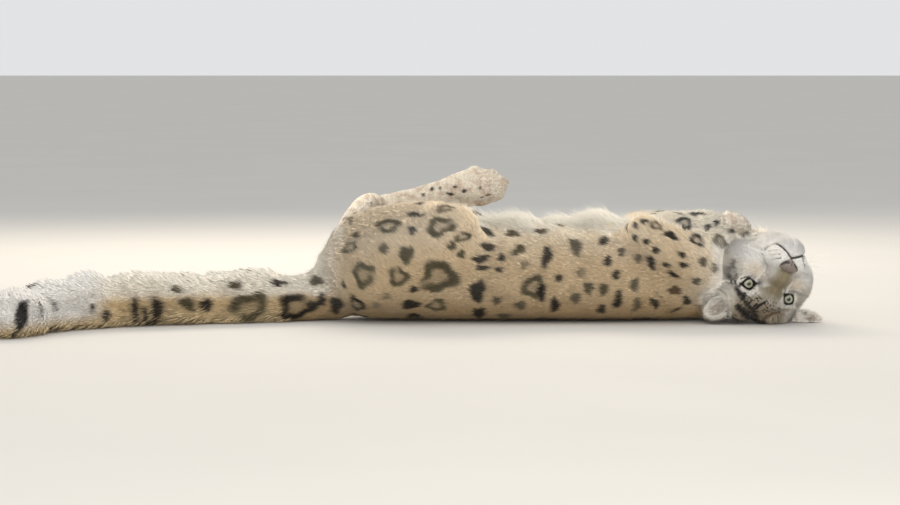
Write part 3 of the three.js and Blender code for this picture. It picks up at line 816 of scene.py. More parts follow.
# %% Marks seen in the photograph
# Kind, tone, middle of the mark and its width, height and tilt in pixels and degrees.
MARKS = [
    # Rump, thigh and shank.
    ("ring", "olive", 389, 226, 26, 14, 0),
    ("spot", "black", 413, 231, 8, 9, 0),
    ("ring", "olive", 441, 227, 30, 19, -10),
    ("ring", "olive", 463, 237, 19, 9, -8),
    ("spot", "black", 477, 213, 13, 10, -20),
    ("spot", "black", 487, 232, 15, 11, -30),
    ("spot", "dark", 399, 204, 7, 3, 0),
    ("spot", "dark", 421, 204, 10, 4, -25),
    ("spot", "black", 416, 215, 19, 5, 5),
    ("ring", "brown", 446, 209, 18, 9, -10),
    ("ring", "grey", 351, 248, 18, 12, 0),
    ("spot", "grey", 384, 249, 10, 11, 0),
    ("spot", "olive", 407, 255, 15, 18, 10),
    ("ring", "olive", 364, 275, 25, 25, 0),
    ("ring", "olive", 399, 277, 20, 20, 0),
    ("ring", "olive", 438, 276, 38, 33, 0),
    ("spot", "olive", 452, 246, 9, 9, 0),
    ("spot", "olive", 461, 254, 10, 8, 0),
    ("spot", "dark", 488, 247, 16, 8, 10),
    ("spot", "dark", 481, 259, 18, 8, -10),
    ("spot", "dark", 483, 268, 14, 6, 0),
    ("spot", "dark", 414, 289, 9, 8, 0),
    ("spot", "dark", 345, 285, 7, 7, 0),
    ("spot", "brown", 357, 235, 9, 6, 0),
    ("spot", "dark", 500, 270, 8, 6, 0),
    ("spot", "black", 337, 305, 14, 20, 10),
    ("ring", "black", 358, 304, 18, 17, 0),
    ("spot", "black", 411, 304, 20, 11, 0),
    ("spot", "black", 415, 318, 16, 9, 0),
    ("ring", "olive", 437, 305, 20, 14, 0),
    ("spot", "black", 478, 291, 16, 24, 10),
    ("spot", "black", 480, 313, 13, 16, 0),
    ("spot", "grey", 497, 300, 9, 10, 0),
    ("spot", "faint", 377, 305, 9, 9, 0),
    ("spot", "faint", 387, 296, 9, 8, 0),
    # Flank.
    ("spot", "olive", 513, 235, 15, 11, -10),
    ("spot", "olive", 519, 250, 17, 9, -35),
    ("spot", "brown", 542, 232, 14, 6, 10),
    ("spot", "brown", 561, 227, 8, 6, 0),
    ("spot", "dark", 547, 257, 10, 23, 12),
    ("spot", "faint", 525, 265, 10, 8, -30),
    ("spot", "dark", 502, 258, 8, 8, 0),
    ("ring", "olive", 534, 287, 24, 24, 0),
    ("spot", "black", 542, 292, 9, 20, 0),
    ("spot", "dark", 559, 278, 8, 8, 0),
    ("spot", "grey", 576, 247, 12, 20, -15),
    ("spot", "dark", 604, 241, 9, 11, 20),
    ("spot", "dark", 608, 261, 8, 12, 10),
    ("spot", "dark", 616, 275, 8, 11, 20),
    ("spot", "faint", 581, 273, 9, 10, 0),
    ("spot", "olive", 589, 288, 10, 13, 0),
    ("spot", "olive", 604, 289, 10, 13, 0),
    ("spot", "black", 555, 305, 9, 18, 0),
    ("spot", "black", 618, 300, 9, 20, 8),
    ("spot", "dark", 602, 309, 9, 12, 0),
    ("spot", "grey", 521, 305, 12, 10, 0),
    ("spot", "grey", 576, 298, 10, 12, 0),
    ("spot", "grey", 505, 318, 14, 8, 0),
    ("spot", "grey", 637, 305, 8, 16, 10),
    # Chest, shoulder and foreleg.
    ("spot", "black", 644, 222, 9, 6, -20),
    ("spot", "black", 636, 226, 6, 6, 0),
    ("spot", "black", 628, 228, 5, 7, 0),
    ("spot", "black", 636, 238, 6, 7, 0),
    ("spot", "black", 647, 242, 8, 6, 0),
    ("spot", "black", 656, 250, 8, 7, 0),
    ("ring", "brown", 656, 226, 14, 9, 20),
    ("spot", "black", 671, 236, 17, 7, 20),
    ("ring", "black", 684, 223, 18, 12, 10),
    ("spot", "black", 693, 214, 9, 5, 0),
    ("spot", "black", 652, 262, 9, 16, -15),
    ("spot", "black", 707, 227, 8, 6, -20),
    ("spot", "black", 716, 223, 8, 6, -20),
    ("ring", "black", 697, 241, 17, 12, 10),
    ("spot", "dark", 731, 231, 7, 5, -20),
    ("spot", "black", 682, 255, 10, 6, 30),
    ("spot", "black", 684, 265, 10, 6, 10),
    ("spot", "dark", 667, 265, 8, 6, 0),
    ("spot", "black", 674, 274, 13, 5, 30),
    ("ring", "grey", 720, 242, 16, 12, 0),
    ("spot", "brown", 675, 290, 14, 10, 0),
    ("spot", "grey", 635, 285, 9, 14, 10),
    ("spot", "grey", 639, 258, 8, 10, 0),
    ("spot", "grey", 622, 252, 7, 9, 0),
    ("spot", "dark", 660, 209, 12, 3, 0),
    ("spot", "dark", 678, 208, 12, 3, 5),
    ("spot", "dark", 700, 208, 12, 3, 5),
    ("spot", "dark", 652, 215, 9, 4, 0),
    ("spot", "grey", 703, 262, 9, 10, 0),
    ("spot", "grey", 697, 281, 10, 9, 0),
    ("spot", "grey", 714, 268, 7, 11, 0),
    ("spot", "dark", 655, 303, 8, 14, -30),
    ("spot", "dark", 677, 309, 12, 4, -30),
    ("spot", "dark", 687, 300, 8, 12, -25),
    # Tail.
    ("spot", "black", 136, 311, 8, 28, -4),
    ("spot", "black", 146, 316, 7, 20, 0),
    ("spot", "black", 157, 312, 13, 28, 8),
    ("spot", "grey", 176, 290, 11, 7, 20),
    ("spot", "olive", 188, 304, 19, 11, 35),
    ("spot", "black", 206, 305, 16, 12, 30),
    ("spot", "olive", 236, 286, 15, 8, 0),
    ("ring", "olive", 250, 308, 38, 26, 0),
    ("spot", "dark", 280, 284, 18, 7, -10),
    ("ring", "black", 297, 307, 38, 26, 0),
    ("spot", "olive", 317, 281, 14, 10, 0),
    ("spot", "black", 322, 300, 9, 14, 0),
    ("spot", "black", 23, 315, 14, 27, 0),
    ("spot", "dark", 106, 316, 8, 12, 0),
    ("spot", "dark", 92, 308, 6, 9, 0),
    # Far foot.
    ("spot", "black", 423, 195, 4, 3, 0),
    ("spot", "black", 432, 189, 4, 4, 0),
    ("spot", "dark", 440, 188, 3, 4, 0),
    ("spot", "dark", 455, 187, 4, 3, 0),
    ("spot", "dark", 464, 191, 6, 4, 0),
    ("spot", "dark", 450, 194, 9, 3, 15),
    ("spot", "brown", 480, 188, 4, 4, 0),
    ("spot", "brown", 488, 195, 8, 2, -10),
    ("spot", "brown", 482, 197, 4, 2, 0),
]
# Tone, width in pixels and the pixels of a streak. Most streaks are marks; a few are painted shade and
# shadow.
STREAKS = [
    ("black", 3.2, [(735, 281), (738, 289), (743, 295), (744, 300)]),
    ("black", 2.6, [(741, 284), (737, 290), (741, 298), (749, 303)]),
    ("black", 4.6, [(735, 262), (731, 270), (732, 278)]),
    ("black", 3.6, [(729, 268), (729, 276), (732, 284)]),
    ("dark", 3.0, [(745, 309), (752, 314), (757, 319)]),
    ("black", 3.4, [(738, 305), (744, 313), (752, 320)]),
    ("black", 2.4, [(757, 304), (752, 310), (758, 316)]),
    # Partly painted shadow: the dark crown fur, with the contact shadow painted in where the crown rests on
    # the floor.
    ("black", 5.0, [(756, 320), (764, 323)]),
    ("dark", 1.7, [(741, 279), (746, 277), (752, 276)]),
    ("black", 2.4, [(797, 308), (802, 306), (806, 303), (808, 297)]),
    ("dark", 1.8, [(792, 291), (796, 292), (800, 294), (804, 297)]),
    ("dark", 2.2, [(803, 258), (805, 266), (806, 275)]),
    ("black", 3.6, [(736, 288), (739, 294), (743, 297), (745, 294)]),
    ("black", 3.0, [(743, 297), (745, 303), (750, 308), (755, 309), (760, 305), (765, 302)]),
    ("black", 6.5, [(738, 307), (745, 314), (752, 319)]),
    # Partly painted shadow: dark fur of the crown, with the near ear's shadow painted in below the ear.
    ("dark", 5.0, [(724, 313), (731, 316), (737, 320)]),
    ("dark", 3.4, [(736, 268), (737, 274), (736, 279)]),
    ("brown", 3.0, [(765, 318), (772, 314), (779, 312)]),
    ("dark", 2.2, [(752, 300), (749, 305), (752, 309)]),
    ("brown", 1.3, [(762, 250), (770, 251), (778, 250)]),
    ("brown", 1.3, [(762, 254), (770, 255), (780, 254)]),
    ("brown", 1.3, [(764, 258), (772, 259), (781, 258)]),
    ("black", 3.8, [(735, 247), (731, 251), (730, 255)]),
    ("black", 4.0, [(743, 236), (749, 233), (755, 232)]),
    ("black", 4.6, [(21, 291), (31, 296), (39, 304), (41, 315)]),
    ("black", 4.2, [(34, 290), (45, 294), (53, 301), (56, 310)]),
    ("black", 3.6, [(12, 296), (20, 303), (25, 312)]),
    # Painted shade: these four dark lines on the near hind foot stand for the creases between its toes and
    # under the rim of its sole.
    ("dark", 3.2, [(355, 214), (352, 219), (351, 224)]),
    ("dark", 2.6, [(343, 220), (346, 218), (350, 219)]),
    ("dark", 2.6, [(341, 228), (345, 223), (348, 220)]),
    ("dark", 2.4, [(371, 203), (376, 208), (381, 214)]),
    ("dark", 2.2, [(657, 292), (664, 302), (670, 312)]),
    ("dark", 2.0, [(670, 311), (678, 308), (686, 304)]),
]


def on_skin(pixel):
    """Where a pixel's ray, or else one just above or below it, meets the skin, and the normal there."""
    x, y = pixel
    for nudge in range(0, 18, 3):
        for shift in (nudge, -nudge):
            place, normal, _, _ = skin_tree.ray_cast(eye_point, picture_ray((x, y + shift)))
            if place is not None:
                return place, normal
    return None, None


def mark_axes(normal, tilt):
    """Directions across and up a mark, turned on the skin by its tilt in the picture."""
    right = Vector((1, 0, 0)) - normal * normal.x
    right.normalize()
    upward = normal.cross(right)
    if upward.z < 0:
        upward.negate()
    turn = math.radians(tilt)
    return right * math.cos(turn) - upward * math.sin(turn), right * math.sin(turn) + upward * math.cos(turn)


marks = []
for kind, tone, x, y, width, height, tilt in MARKS:
    place, normal = on_skin((x, y))
    if place is None:
        print("missed the skin:", kind, x, y)
        continue
    across, upward = mark_axes(normal, tilt)
    facing = max(0.45, -normal.dot(forward))
    half = (width / 2 / PIXELS_PER_METRE, height / 2 / PIXELS_PER_METRE / facing**0.5)
    where = (np.array(place), np.array(normal), np.array(across), np.array(upward))
    marks.append((kind, TONES[tone], *where, half))
streaks = []
for tone, width, pixels in STREAKS:
    places = [on_skin(p)[0] for p in pixels]
    places = [p for p in places if p is not None]
    if len(places) > 1:
        streaks.append((TONES[tone], width / 2 / PIXELS_PER_METRE, smooth_line(places, 5 * len(places))))
print("marks seen:", len(marks), "streaks:", len(streaks))

# %% Scatter the marks that the picture doesn't show
# Distance between marks, and half the width of a mark, in millimetres.
SPACING = {
    "trunk": 58,
    "neck": 46,
    "tail": 62,
    "thigh": 50,
    "shank": 34,
    "foot": 22,
    "arm": 38,
    "forearm": 30,
    "paw": 24,
}
MARK_SIZE = {
    "trunk": 22,
    "neck": 11,
    "tail": 20,
    "thigh": 19,
    "shank": 9,
    "foot": 4,
    "arm": 11,
    "forearm": 9,
    "paw": 5,
}
CANDIDATES = 9000

skin_normals = normals_of(skin.data)
candidates = rng.permutation(len(skin_points))[:CANDIDATES]
candidate_parts = part_names(body_field(skin_points[candidates])[0])
on_head = head_share(skin_points[candidates]) > 0.05
taken = [m[2] for m in marks]
seen_from_camera = []
for i in candidates:
    towards = eye_point - Vector(skin_points[i])
    start = Vector(skin_points[i]) + Vector(skin_normals[i]) * 0.004
    hit = skin_tree.ray_cast(start, towards.normalized())[0]
    seen_from_camera.append(hit is None and Vector(skin_normals[i]).dot(towards.normalized()) > 0.12)
for i, part, is_head, seen in zip(candidates, candidate_parts, on_head, seen_from_camera):
    if is_head or seen:
        continue
    place, normal = skin_points[i], skin_normals[i]
    if part == "trunk" and place[2] > 0.185:
        continue
    if taken and np.linalg.norm(np.array(taken) - place, axis=1).min() < SPACING[part] * MM:
        continue
    taken.append(place)
    across, upward = mark_axes(Vector(normal), rng.uniform(-30, 30))
    size = MARK_SIZE[part] * MM * rng.uniform(0.75, 1.2)
    kind = "ring" if size > 13 * MM and rng.random() < 0.75 else "spot"
    tone = TONES[rng.choice(["olive", "dark", "olive", "black"])]
    half = (size, size * rng.uniform(0.6, 0.95))
    if kind == "spot":
        half = (half[0] * 0.62, half[1] * 0.62)
    marks.append((kind, tone, place, normal, np.array(across), np.array(upward), half))
print("marks in all:", len(marks))


# %% The colour of the coat at a place
def over(base, colour, mask):
    return base + (colour - base) * mask[:, None]


def ground_colour(points, part):
    """The coat without its marks: buff on the flanks, cream to white on the belly and under the tail."""
    height = points[:, 2] * 1000
    wander = 14 * blotches(points, 0.03, 1)
    colour = np.tile(BUFF, (len(points), 1))
    colour = over(colour, LOW_BUFF, 1 - step(10, 80, height + wander))
    leg = np.isin(part, ["thigh", "shank", "arm"])
    upper = step(105, 195, height + wander) * np.where(leg, 0.65, 0.9)
    colour = over(colour, WARM_CREAM, upper)
    colour = over(colour, CREAM, 0.55 * step(0.31, 0.40, points[:, 0]) * step(15, 70, height))
    belly = np.isin(part, ["trunk", "neck"]) * step(172, 206, height + 14 * blotches(points, 0.025, 2))
    colour = over(colour, CREAM, belly)
    tail = part == "tail"
    colour = over(colour, TAIL_BUFF, tail * 1.0)
    top = step(46, 68, height + 6 * blotches(points, 0.02, 3))
    colour = over(colour, CREAM, tail * top)
    colour = over(colour, CREAM, step(-0.35, -0.42, points[:, 0]) * top * ~tail)
    tip = step(-0.82, -0.88, points[:, 0])
    colour = over(colour, WHITE, tail * tip * step(8, 40, height))
    colour = over(colour, CREAM, (part == "forearm") * 0.5)
    feet = np.isin(part, ["foot", "paw"])
    colour = over(colour, CREAM, feet * 0.65)
    colour = over(colour, PAW_TAN, feet * 0.5 * step(-0.1, 0.5, blotches(points, 0.011, 14)))
    return colour


def head_colour(points):
    """The head without its streaks: pale cheeks and chin, an olive nose and a smoky, speckled forehead."""
    q = to_head(points)
    x, y, z = q.T
    colour = np.tile(HEAD_GREY, (len(points), 1))
    crown = step(6, 40, z + 8 * blotches(points, 0.012, 4)) * (1 - step(46, 74, np.abs(y)))
    colour = over(colour, FOREHEAD, 0.85 * crown)
    tan = step(-70, -40, z) * (1 - step(-34, -8, z)) * step(26, 40, np.abs(y)) * (1 - step(54, 70, np.abs(y)))
    colour = over(colour, BUFF, 0.5 * tan * step(0, 30, x))
    white = step(-20, -52, z) * step(-40, 10, x)
    colour = over(colour, WHITE, white)
    colour = over(colour, CHIN, 0.7 * step(-80, -102, z))
    wide = 19 + 0.1 * (z + 60)
    bridge = np.exp(-((np.abs(y) / wide) ** 4)) * step(40, 62, x) * step(-66, -52, z) * (1 - step(0, 30, z))
    colour = over(colour, NOSE_OLIVE, 0.9 * bridge)
    speckle = step(0.2, 0.36, blotches(points, 0.0032, 6)) * step(14, 26, z) * step(0, 20, x)
    colour = over(colour, TONES["black"], 0.9 * speckle * (1 - step(40, 56, np.abs(y))))
    patch = step(0.1, 0.4, blotches(points, 0.009, 12)) * step(24, 36, z) * (1 - step(30, 44, np.abs(y)))
    colour = over(colour, LOW_BUFF, 0.45 * patch * (1 - speckle))
    for hand in (1, -1):
        ring = lid_ring(q, hand)
        pale = np.exp(-(((ring - 2.2) / 0.5) ** 2)) * (x > 15)
        colour = over(colour, WHITE, 0.7 * pale)
        colour = over(colour, TONES["black"], 1 - step(1.35, 1.65, ring))
        inner = bump(q, (60, hand * 30, -3), (16, 4, 6))
        colour = over(colour, TONES["dark"], np.clip(1.3 * inner, 0, 0.85))
    away = distance_to(q, mouth_on_skin)
    colour = over(colour, TONES["dark"], (1 - step(2.4, 4.2, away)) * 0.9)
    return colour


def coat_colour(points, normals, part, share):
    """The full coat: the ground, the head and every mark over them, a few streaks among them being painted
    shade.
    """
    colour = ground_colour(points, part)
    on = share > 0.01
    if on.any():
        face = np.concatenate([head_colour(p) for p in np.array_split(points[on], max(1, on.sum() // 8000))])
        colour[on] = colour[on] + (face - colour[on]) * share[on, None]
    for seed, (kind, tone, place, normal, across, upward, half) in enumerate(marks):
        near = np.flatnonzero(np.abs(points[:, 0] - place[0]) < 1.5 * max(half))
        near = near[(np.abs(points[near] - place) < 1.5 * max(half)).all(1)]
        near = near[normals[near] @ normal > -0.2]
        if not len(near):
            continue
        o = points[near] - place
        u, v = o @ across / half[0], o @ upward / half[1]
        angle = np.arctan2(v, u)
        wobble = 1 + 0.14 * np.sin(3 * angle + seed) + 0.08 * np.sin(5 * angle + 2.3 * seed)
        r = np.hypot(u, v) / wobble
        mask = 1 - step(0.85, 1.08, r)
        if kind == "ring":
            breaks = np.exp(-(((angle - (seed * 1.7) % 6.28 + 3.14) / 0.3) ** 2))
            fill = mask * 0.26
            mask = mask * step(0.34, 0.58, r) * (1 - 0.8 * breaks)
            colour[near] = over(colour[near], TONES["olive"], fill)
        colour[near] = over(colour[near], tone, 0.95 * mask)
    for tone, half, line in streaks:
        middle = line.mean(0)
        reach = np.linalg.norm(line - middle, axis=1).max() + 3 * half
        near = np.flatnonzero((np.abs(points - middle) < reach).all(1))
        if len(near):
            away = distance_to(points[near], line)
            colour[near] = over(colour[near], tone, 0.93 * (1 - step(0.75 * half, 1.3 * half, away)))
    return colour


# %% [markdown]
# ## Skin colours
#
# The skin shows only between tufts and where the hair is very short, so it carries the same marks,
# a little darker, as deep fur looks in its own shade.


# %% Colour the skin
def add_colours(mesh, colours):
    layer = mesh.color_attributes.new("coat_colour", "FLOAT_COLOR", "POINT")
    rgba = np.ones((len(colours), 4), np.float32)
    rgba[:, :3] = np.clip(colours, 0, 1)
    layer.data.foreach_set("color", rgba.ravel())


SKIN_SHADE = 0.72
skin_part = part_names(body_field(skin_points)[0])
skin_colours = coat_colour(skin_points, skin_normals, skin_part, head_share(skin_points))
add_colours(skin.data, skin_colours * SKIN_SHADE)

# %% [markdown]
# ## Tufts
#
# One tuft is a thin three-sided spike that lies along the body, with a bend in it on the tail. Hundreds
# of thousands of them give the soft edge and the nap of real fur. Neighbouring tufts lean to shared
# points, as damp or rubbed hair does, and their length, colour and direction all vary a little.

# %% Scatter roots over the skin
# Tufts to the square metre, and the height in metres under which the skin rests on the floor.
HEAD_DENSITY = 520e3
BACK_OF_HEAD_DENSITY = 300e3
BARE_HEIGHT = 0.0035
triangle_index = np.empty(len(skin.data.polygons) * 3, np.int32)
skin.data.polygons.foreach_get("vertices", triangle_index)
triangles = triangle_index.reshape(-1, 3)
corners = skin_points[triangles]
middles = corners.mean(1)
areas = np.linalg.norm(np.cross(corners[:, 1] - corners[:, 0], corners[:, 2] - corners[:, 0]), axis=1) / 2
middle_share = head_share(middles)
middle_head = to_head(middles)
face_density = np.where(middle_head[:, 0] > 5, HEAD_DENSITY, BACK_OF_HEAD_DENSITY)
density = body_field(middles)[2][:, 2] * (1 - middle_share) + face_density * middle_share
density[middles[:, 2] < BARE_HEIGHT] = 0
counts = rng.poisson(areas * density)
owner = np.repeat(np.arange(len(triangles)), counts)
a, b = rng.random(len(owner)), rng.random(len(owner))
flip = a + b > 1
a[flip], b[flip] = 1 - a[flip], 1 - b[flip]
weights = np.stack([1 - a - b, a, b], 1)
roots = (corners[owner] * weights[..., None]).sum(1)
outward = unit((skin_normals[triangles[owner]] * weights[..., None]).sum(1))
print("tufts:", len(roots), "skin area m2:", round(float(areas.sum()), 2))

# %% [markdown]
# The direction of the hair comes from the lines of the body. On the head it flows back from the nose,
# over the brow and out over the cheeks. Length, width and lift come from the part of the body too.

# %% Direction and size of every tuft
# Widths of a tuft, and how far an ear's hair reaches from its middle, in metres.
HEAD_WIDTH = 0.0011
BODY_WIDTH = 0.0017
FOOT_WIDTH = 0.0013
FINE_WIDTH = 0.0009
EAR_REACH = 0.036

nearest, lie, sizes = body_field(roots)
share = head_share(roots)
q = to_head(roots)
length = sizes[:, 0]
part = part_names(nearest)
height = roots[:, 2] * 1000

belly = np.isin(part, ["trunk", "neck"]) * step(185, 212, height)
length = length * (1 + 0.75 * belly)
tail_top = (part == "tail") * step(55, 80, height)

back_flow = np.stack(
    [
        np.full(len(q), -0.8),
        np.sign(q[:, 1]) * (0.15 + 0.6 * step(20, 60, np.abs(q[:, 1]))),
        0.25 - 0.8 * step(-10, -60, q[:, 2]),
    ],
    1,
)
back_flow[:, 1] += np.sign(q[:, 1]) * 0.6 * step(60, 90, q[:, 0])
head_lie = unit(back_flow) @ HEAD_AXES
front = step(-5, 78, q[:, 0])
forehead = step(6, 36, q[:, 2]) * (1 - step(50, 76, np.abs(q[:, 1])))
ruff = step(50, 84, np.abs(q[:, 1])) * step(35, 0, q[:, 0])
chin = step(-92, -106, q[:, 2])
head_length = (26 - 21.5 * front + 8 * ruff + 6 * chin) * (1 - 0.62 * forehead)
eye_gap = {hand: np.linalg.norm(q - EYE_CENTRES[hand], axis=1) for hand in (1, -1)}
near_eye = np.minimum(lid_ring(q, 1), lid_ring(q, -1))
head_length = np.where(near_eye < 2.4, np.minimum(head_length, 3.0), head_length)
length = length * (1 - share) + head_length * share
lie = unit(lie * (1 - share)[:, None] + head_lie * share[:, None])

# The haunch's hair lies towards the tail and up to the belly, as the flank's does.
HAUNCH_LIE = np.array([-0.75, 0, 0.55])
on_thigh = (part == "thigh") * (1 - share)
lie = lie * (1 - on_thigh)[:, None] + HAUNCH_LIE * on_thigh[:, None]
lie[:, 2] += 0.18 * (part == "trunk")
sway_size = np.where(part == "tail", 0.12, 0.2) * (1 - 0.6 * share)
sway = np.stack([blotches(roots, 0.03, s) for s in (7, 8, 9)], 1)
lie = lie + sway * sway_size[:, None] + rng.normal(0, 0.1, lie.shape)
# Long hair on the belly parts to both sides and hangs.
side_of = np.sign(roots[:, 1]) * step(0, 40, np.abs(roots[:, 1]) * 1000)
lie[:, 1] += 0.5 * belly * side_of
lie -= outward * (lie * outward).sum(1, keepdims=True)
lie = unit(lie)
tip_of_tail = step(-0.36, -0.43, roots[:, 1])
length = length * rng.uniform(0.75, 1.2, len(length)) * (1 - 0.35 * tip_of_tail) * MM
width = np.where(share > 0.5, HEAD_WIDTH, BODY_WIDTH) * rng.uniform(0.8, 1.2, len(length))
width = np.where(np.isin(part, ["foot", "paw"]) & (share < 0.5), FOOT_WIDTH, width)
width = np.where((part == "tail") | (part == "neck"), width * 0.75, width)
lift = 0.22 + 0.06 * blotches(roots, 0.02, 5) + 0.32 * belly + 0.08 * tail_top
lift = np.where(part == "tail", lift - 0.04, lift)
lift = np.where(share > 0.5, 0.22, lift)

# A few guard hairs stand up longer and thinner than the rest.
guard = rng.random(len(roots)) < 0.05 + 0.12 * np.maximum(belly, 0.5 * tail_top)
guard &= (share < 0.5) & ~np.isin(part, ["foot", "paw"])
length = np.where(guard, length * 1.3, length)
width = np.where(guard, FINE_WIDTH, width)
lift = np.where(guard, lift + 0.35, lift)

ear_near = np.min([np.linalg.norm(roots - np.array(place), axis=1) for place, _, _ in EARS.values()], axis=0)
in_ear = ear_near < EAR_REACH
length[in_ear] = 0.012 * rng.uniform(0.7, 1.3, in_ear.sum())
width[in_ear] = FINE_WIDTH
for place, axes, _ in EARS.values():
    mine = np.linalg.norm(roots - np.array(place), axis=1) < EAR_REACH
    upward = np.array(axes)[:, 2] + 0.3 * np.array(axes)[:, 0]
    flat = upward - outward[mine] * (outward[mine] @ upward)[:, None]
    lie[mine] = unit(flat + rng.normal(0, 0.15, flat.shape))

blocked = (near_eye < 1.25) | (np.minimum(eye_gap[1], eye_gap[-1]) < EYE_RADIUS + 1)
nose_gap = np.linalg.norm((q - np.array([102, 0, -61])) / np.array([14, 21, 12]), axis=1)
blocked |= nose_gap < 1.0
on_muzzle = (share > 0.5) & (q[:, 0] > 20)
lip_gap = np.full(len(q), 99.0)
lip_gap[on_muzzle] = distance_to(q[on_muzzle], mouth_on_skin)
blocked |= lip_gap < 1.8
keep = ~blocked

# Tips of neighbours draw together a little, as damp or rubbed hair does.
LOCK_CELL = 0.009
tips = roots + lie * length[:, None] + outward * (lift * length)[:, None]
drift = 0.004 * np.stack([blotches(roots, 0.012, s) for s in (3, 4, 5)], 1)
cell = np.floor((roots + drift) / LOCK_CELL).astype(np.int64)
_, lock = np.unique(cell @ np.array([1, 4001, 4001 * 4001]), return_inverse=True)
members = np.bincount(lock)
centre = np.stack([np.bincount(lock, tips[:, k]) / members for k in range(3)], 1)
pull = np.where((share > 0.5) | (part == "tail"), 0.12, 0.3)[:, None]
tips = tips + (centre[lock] - tips) * pull

# %% [markdown]
# The markings are looked up at two places along each tuft, where it is seen, not at its root. A little
# random shift of those places gives each mark the ragged edge of hairs that cross one another.

# %% Colour of every tuft
# The two places along a tuft, and the painted shade of its root, deep in the coat, and the painted light of
# its tip.
SEEN_ALONG = (0.25, 0.65)
ROOT_SHADE_AND_TIP_LIGHT = np.array([0.88, 1.04])
tuft_tones = np.empty((len(roots), 2, 3))
scatter = rng.normal(0, 0.0008, roots.shape)
for k, share_along in enumerate(SEEN_ALONG):
    seen_at = roots + (tips - roots) * share_along + scatter
    tuft_tones[:, k] = coat_colour(seen_at, outward, part, share)
EAR_RIM = linear("#fffaf0")
EAR_CUP_SHADE = linear("#b5a797")
EAR_BACK = linear("#8f8574")
for place, axes, scale in EARS.values():
    local = (roots - np.array(place)) @ np.array(axes) / (EAR_RADIUS * scale)
    mine = (np.linalg.norm(local, axis=1) < 1.4) & (local[:, 2] > -0.75)
    facing = (outward @ np.array(axes))[:, 0]
    from_rim = np.hypot(local[:, 1] / 0.9, local[:, 2] / 1.2)
    inside = step(-0.1, 0.3, facing)[:, None]
    # Painted shade: the hair deep in the cup of each ear is darker towards its middle, where shade falls.
    shade = EAR_CUP_SHADE + (EAR_RIM - EAR_CUP_SHADE) * step(0.25, 0.8, from_rim)[:, None]
    shade = shade * inside + EAR_BACK * (1 - inside)
    tuft_tones[mine] = tuft_tones[mine] * 0.1 + shade[mine, None] * 0.9
tuft_tones *= rng.uniform(0.93, 1.06, (len(roots), 1, 1))
# Painted shade and light: every tuft is darker at its root and lighter at its tip, as light falls into the
# coat.
tuft_tones *= ROOT_SHADE_AND_TIP_LIGHT[None, :, None]

# %% Build the tufts
# Triangles of a tuft over its corners, the size of its patch on the flat map and its lowest height.
BENT_TUFT = [(0, 1, 4), (0, 2, 1), (0, 4, 3), (0, 3, 2), (1, 2, 3), (1, 3, 4)]
STRAIGHT_TUFT = [(0, 1, 3), (0, 2, 1), (0, 3, 2), (1, 2, 3)]
PATCH_SIZE = 0.003
TUFT_FLOOR = 0.0006


def build_tufts(name, pick, bent):
    """One object with the picked tufts, each a thin closed spike, straight or bent over at a ridge."""
    n = len(pick)
    root, out, way, tip = roots[pick], outward[pick], lie[pick], tips[pick]
    size, wide, rise = length[pick][:, None], width[pick][:, None], lift[pick][:, None]
    side = np.cross(out, way)
    base = root - out * 0.001
    ridge = root + (tip - root) * 0.45 + out * (0.16 * rise * size + 0.3 * wide)
    half = side * wide / 2
    points = np.stack([base - half, base + half, base + out * wide * 0.7, ridge, tip], 1)
    points[..., 2] = np.maximum(points[..., 2], TUFT_FLOOR)
    pattern = np.array(BENT_TUFT if bent else STRAIGHT_TUFT)
    if not bent:
        points = points[:, [0, 1, 2, 4]]
    corner_count = points.shape[1]
    faces = (np.arange(n)[:, None, None] * corner_count + pattern[None]).reshape(-1, 3)
    mesh = bpy.data.meshes.new(name)
    mesh.vertices.add(n * corner_count)
    mesh.vertices.foreach_set("co", points.astype(np.float32).ravel())
    mesh.loops.add(len(faces) * 3)
    mesh.loops.foreach_set("vertex_index", faces.astype(np.int32).ravel())
    mesh.polygons.add(len(faces))
    mesh.polygons.foreach_set("loop_start", np.arange(0, len(faces) * 3, 3, dtype=np.int32))
    mesh.polygons.foreach_set("use_smooth", np.ones(len(faces), bool))
    mesh.update()
    tones = tuft_tones[pick]
    shades = np.stack([tones[:, 0], tones[:, 0], tones[:, 0], tones.mean(1), tones[:, 1]], 1)
    patch = np.array([(0, 0), (1, 0), (0.5, 0.2), (0.5, 0.6), (0.5, 1)]) * PATCH_SIZE
    if not bent:
        shades, patch = shades[:, [0, 1, 2, 4]], patch[[0, 1, 2, 4]]
    add_colours(mesh, shades.reshape(-1, 3))
    spread = unwrap_place[pick][:, None] + patch[None]
    layer = mesh.uv_layers.new(name="OFBake")
    layer.data.foreach_set("uv", spread.reshape(-1, 2)[faces.ravel()].astype(np.float32).ravel())
    return link_object(name, mesh)


# %% [markdown]
# Baking needs every tuft to own a small patch of a flat map. The map is the skin's own unwrap: along
# and round each line of the body, and the two angles of a globe for the head, each in a field of its own.


# %% Unwrap places for the tufts
FIELD_COLUMNS = 4
FIELD = 1 / FIELD_COLUMNS
FIELD_MARGIN = 0.02
FIELD_USED = 0.95
HEAD_FIELD = 0.75


def in_field(start, along):
    """A place on the flat map, from the start of a field and how far along the field it is."""
    return start + FIELD * (FIELD_MARGIN + FIELD_USED * along)


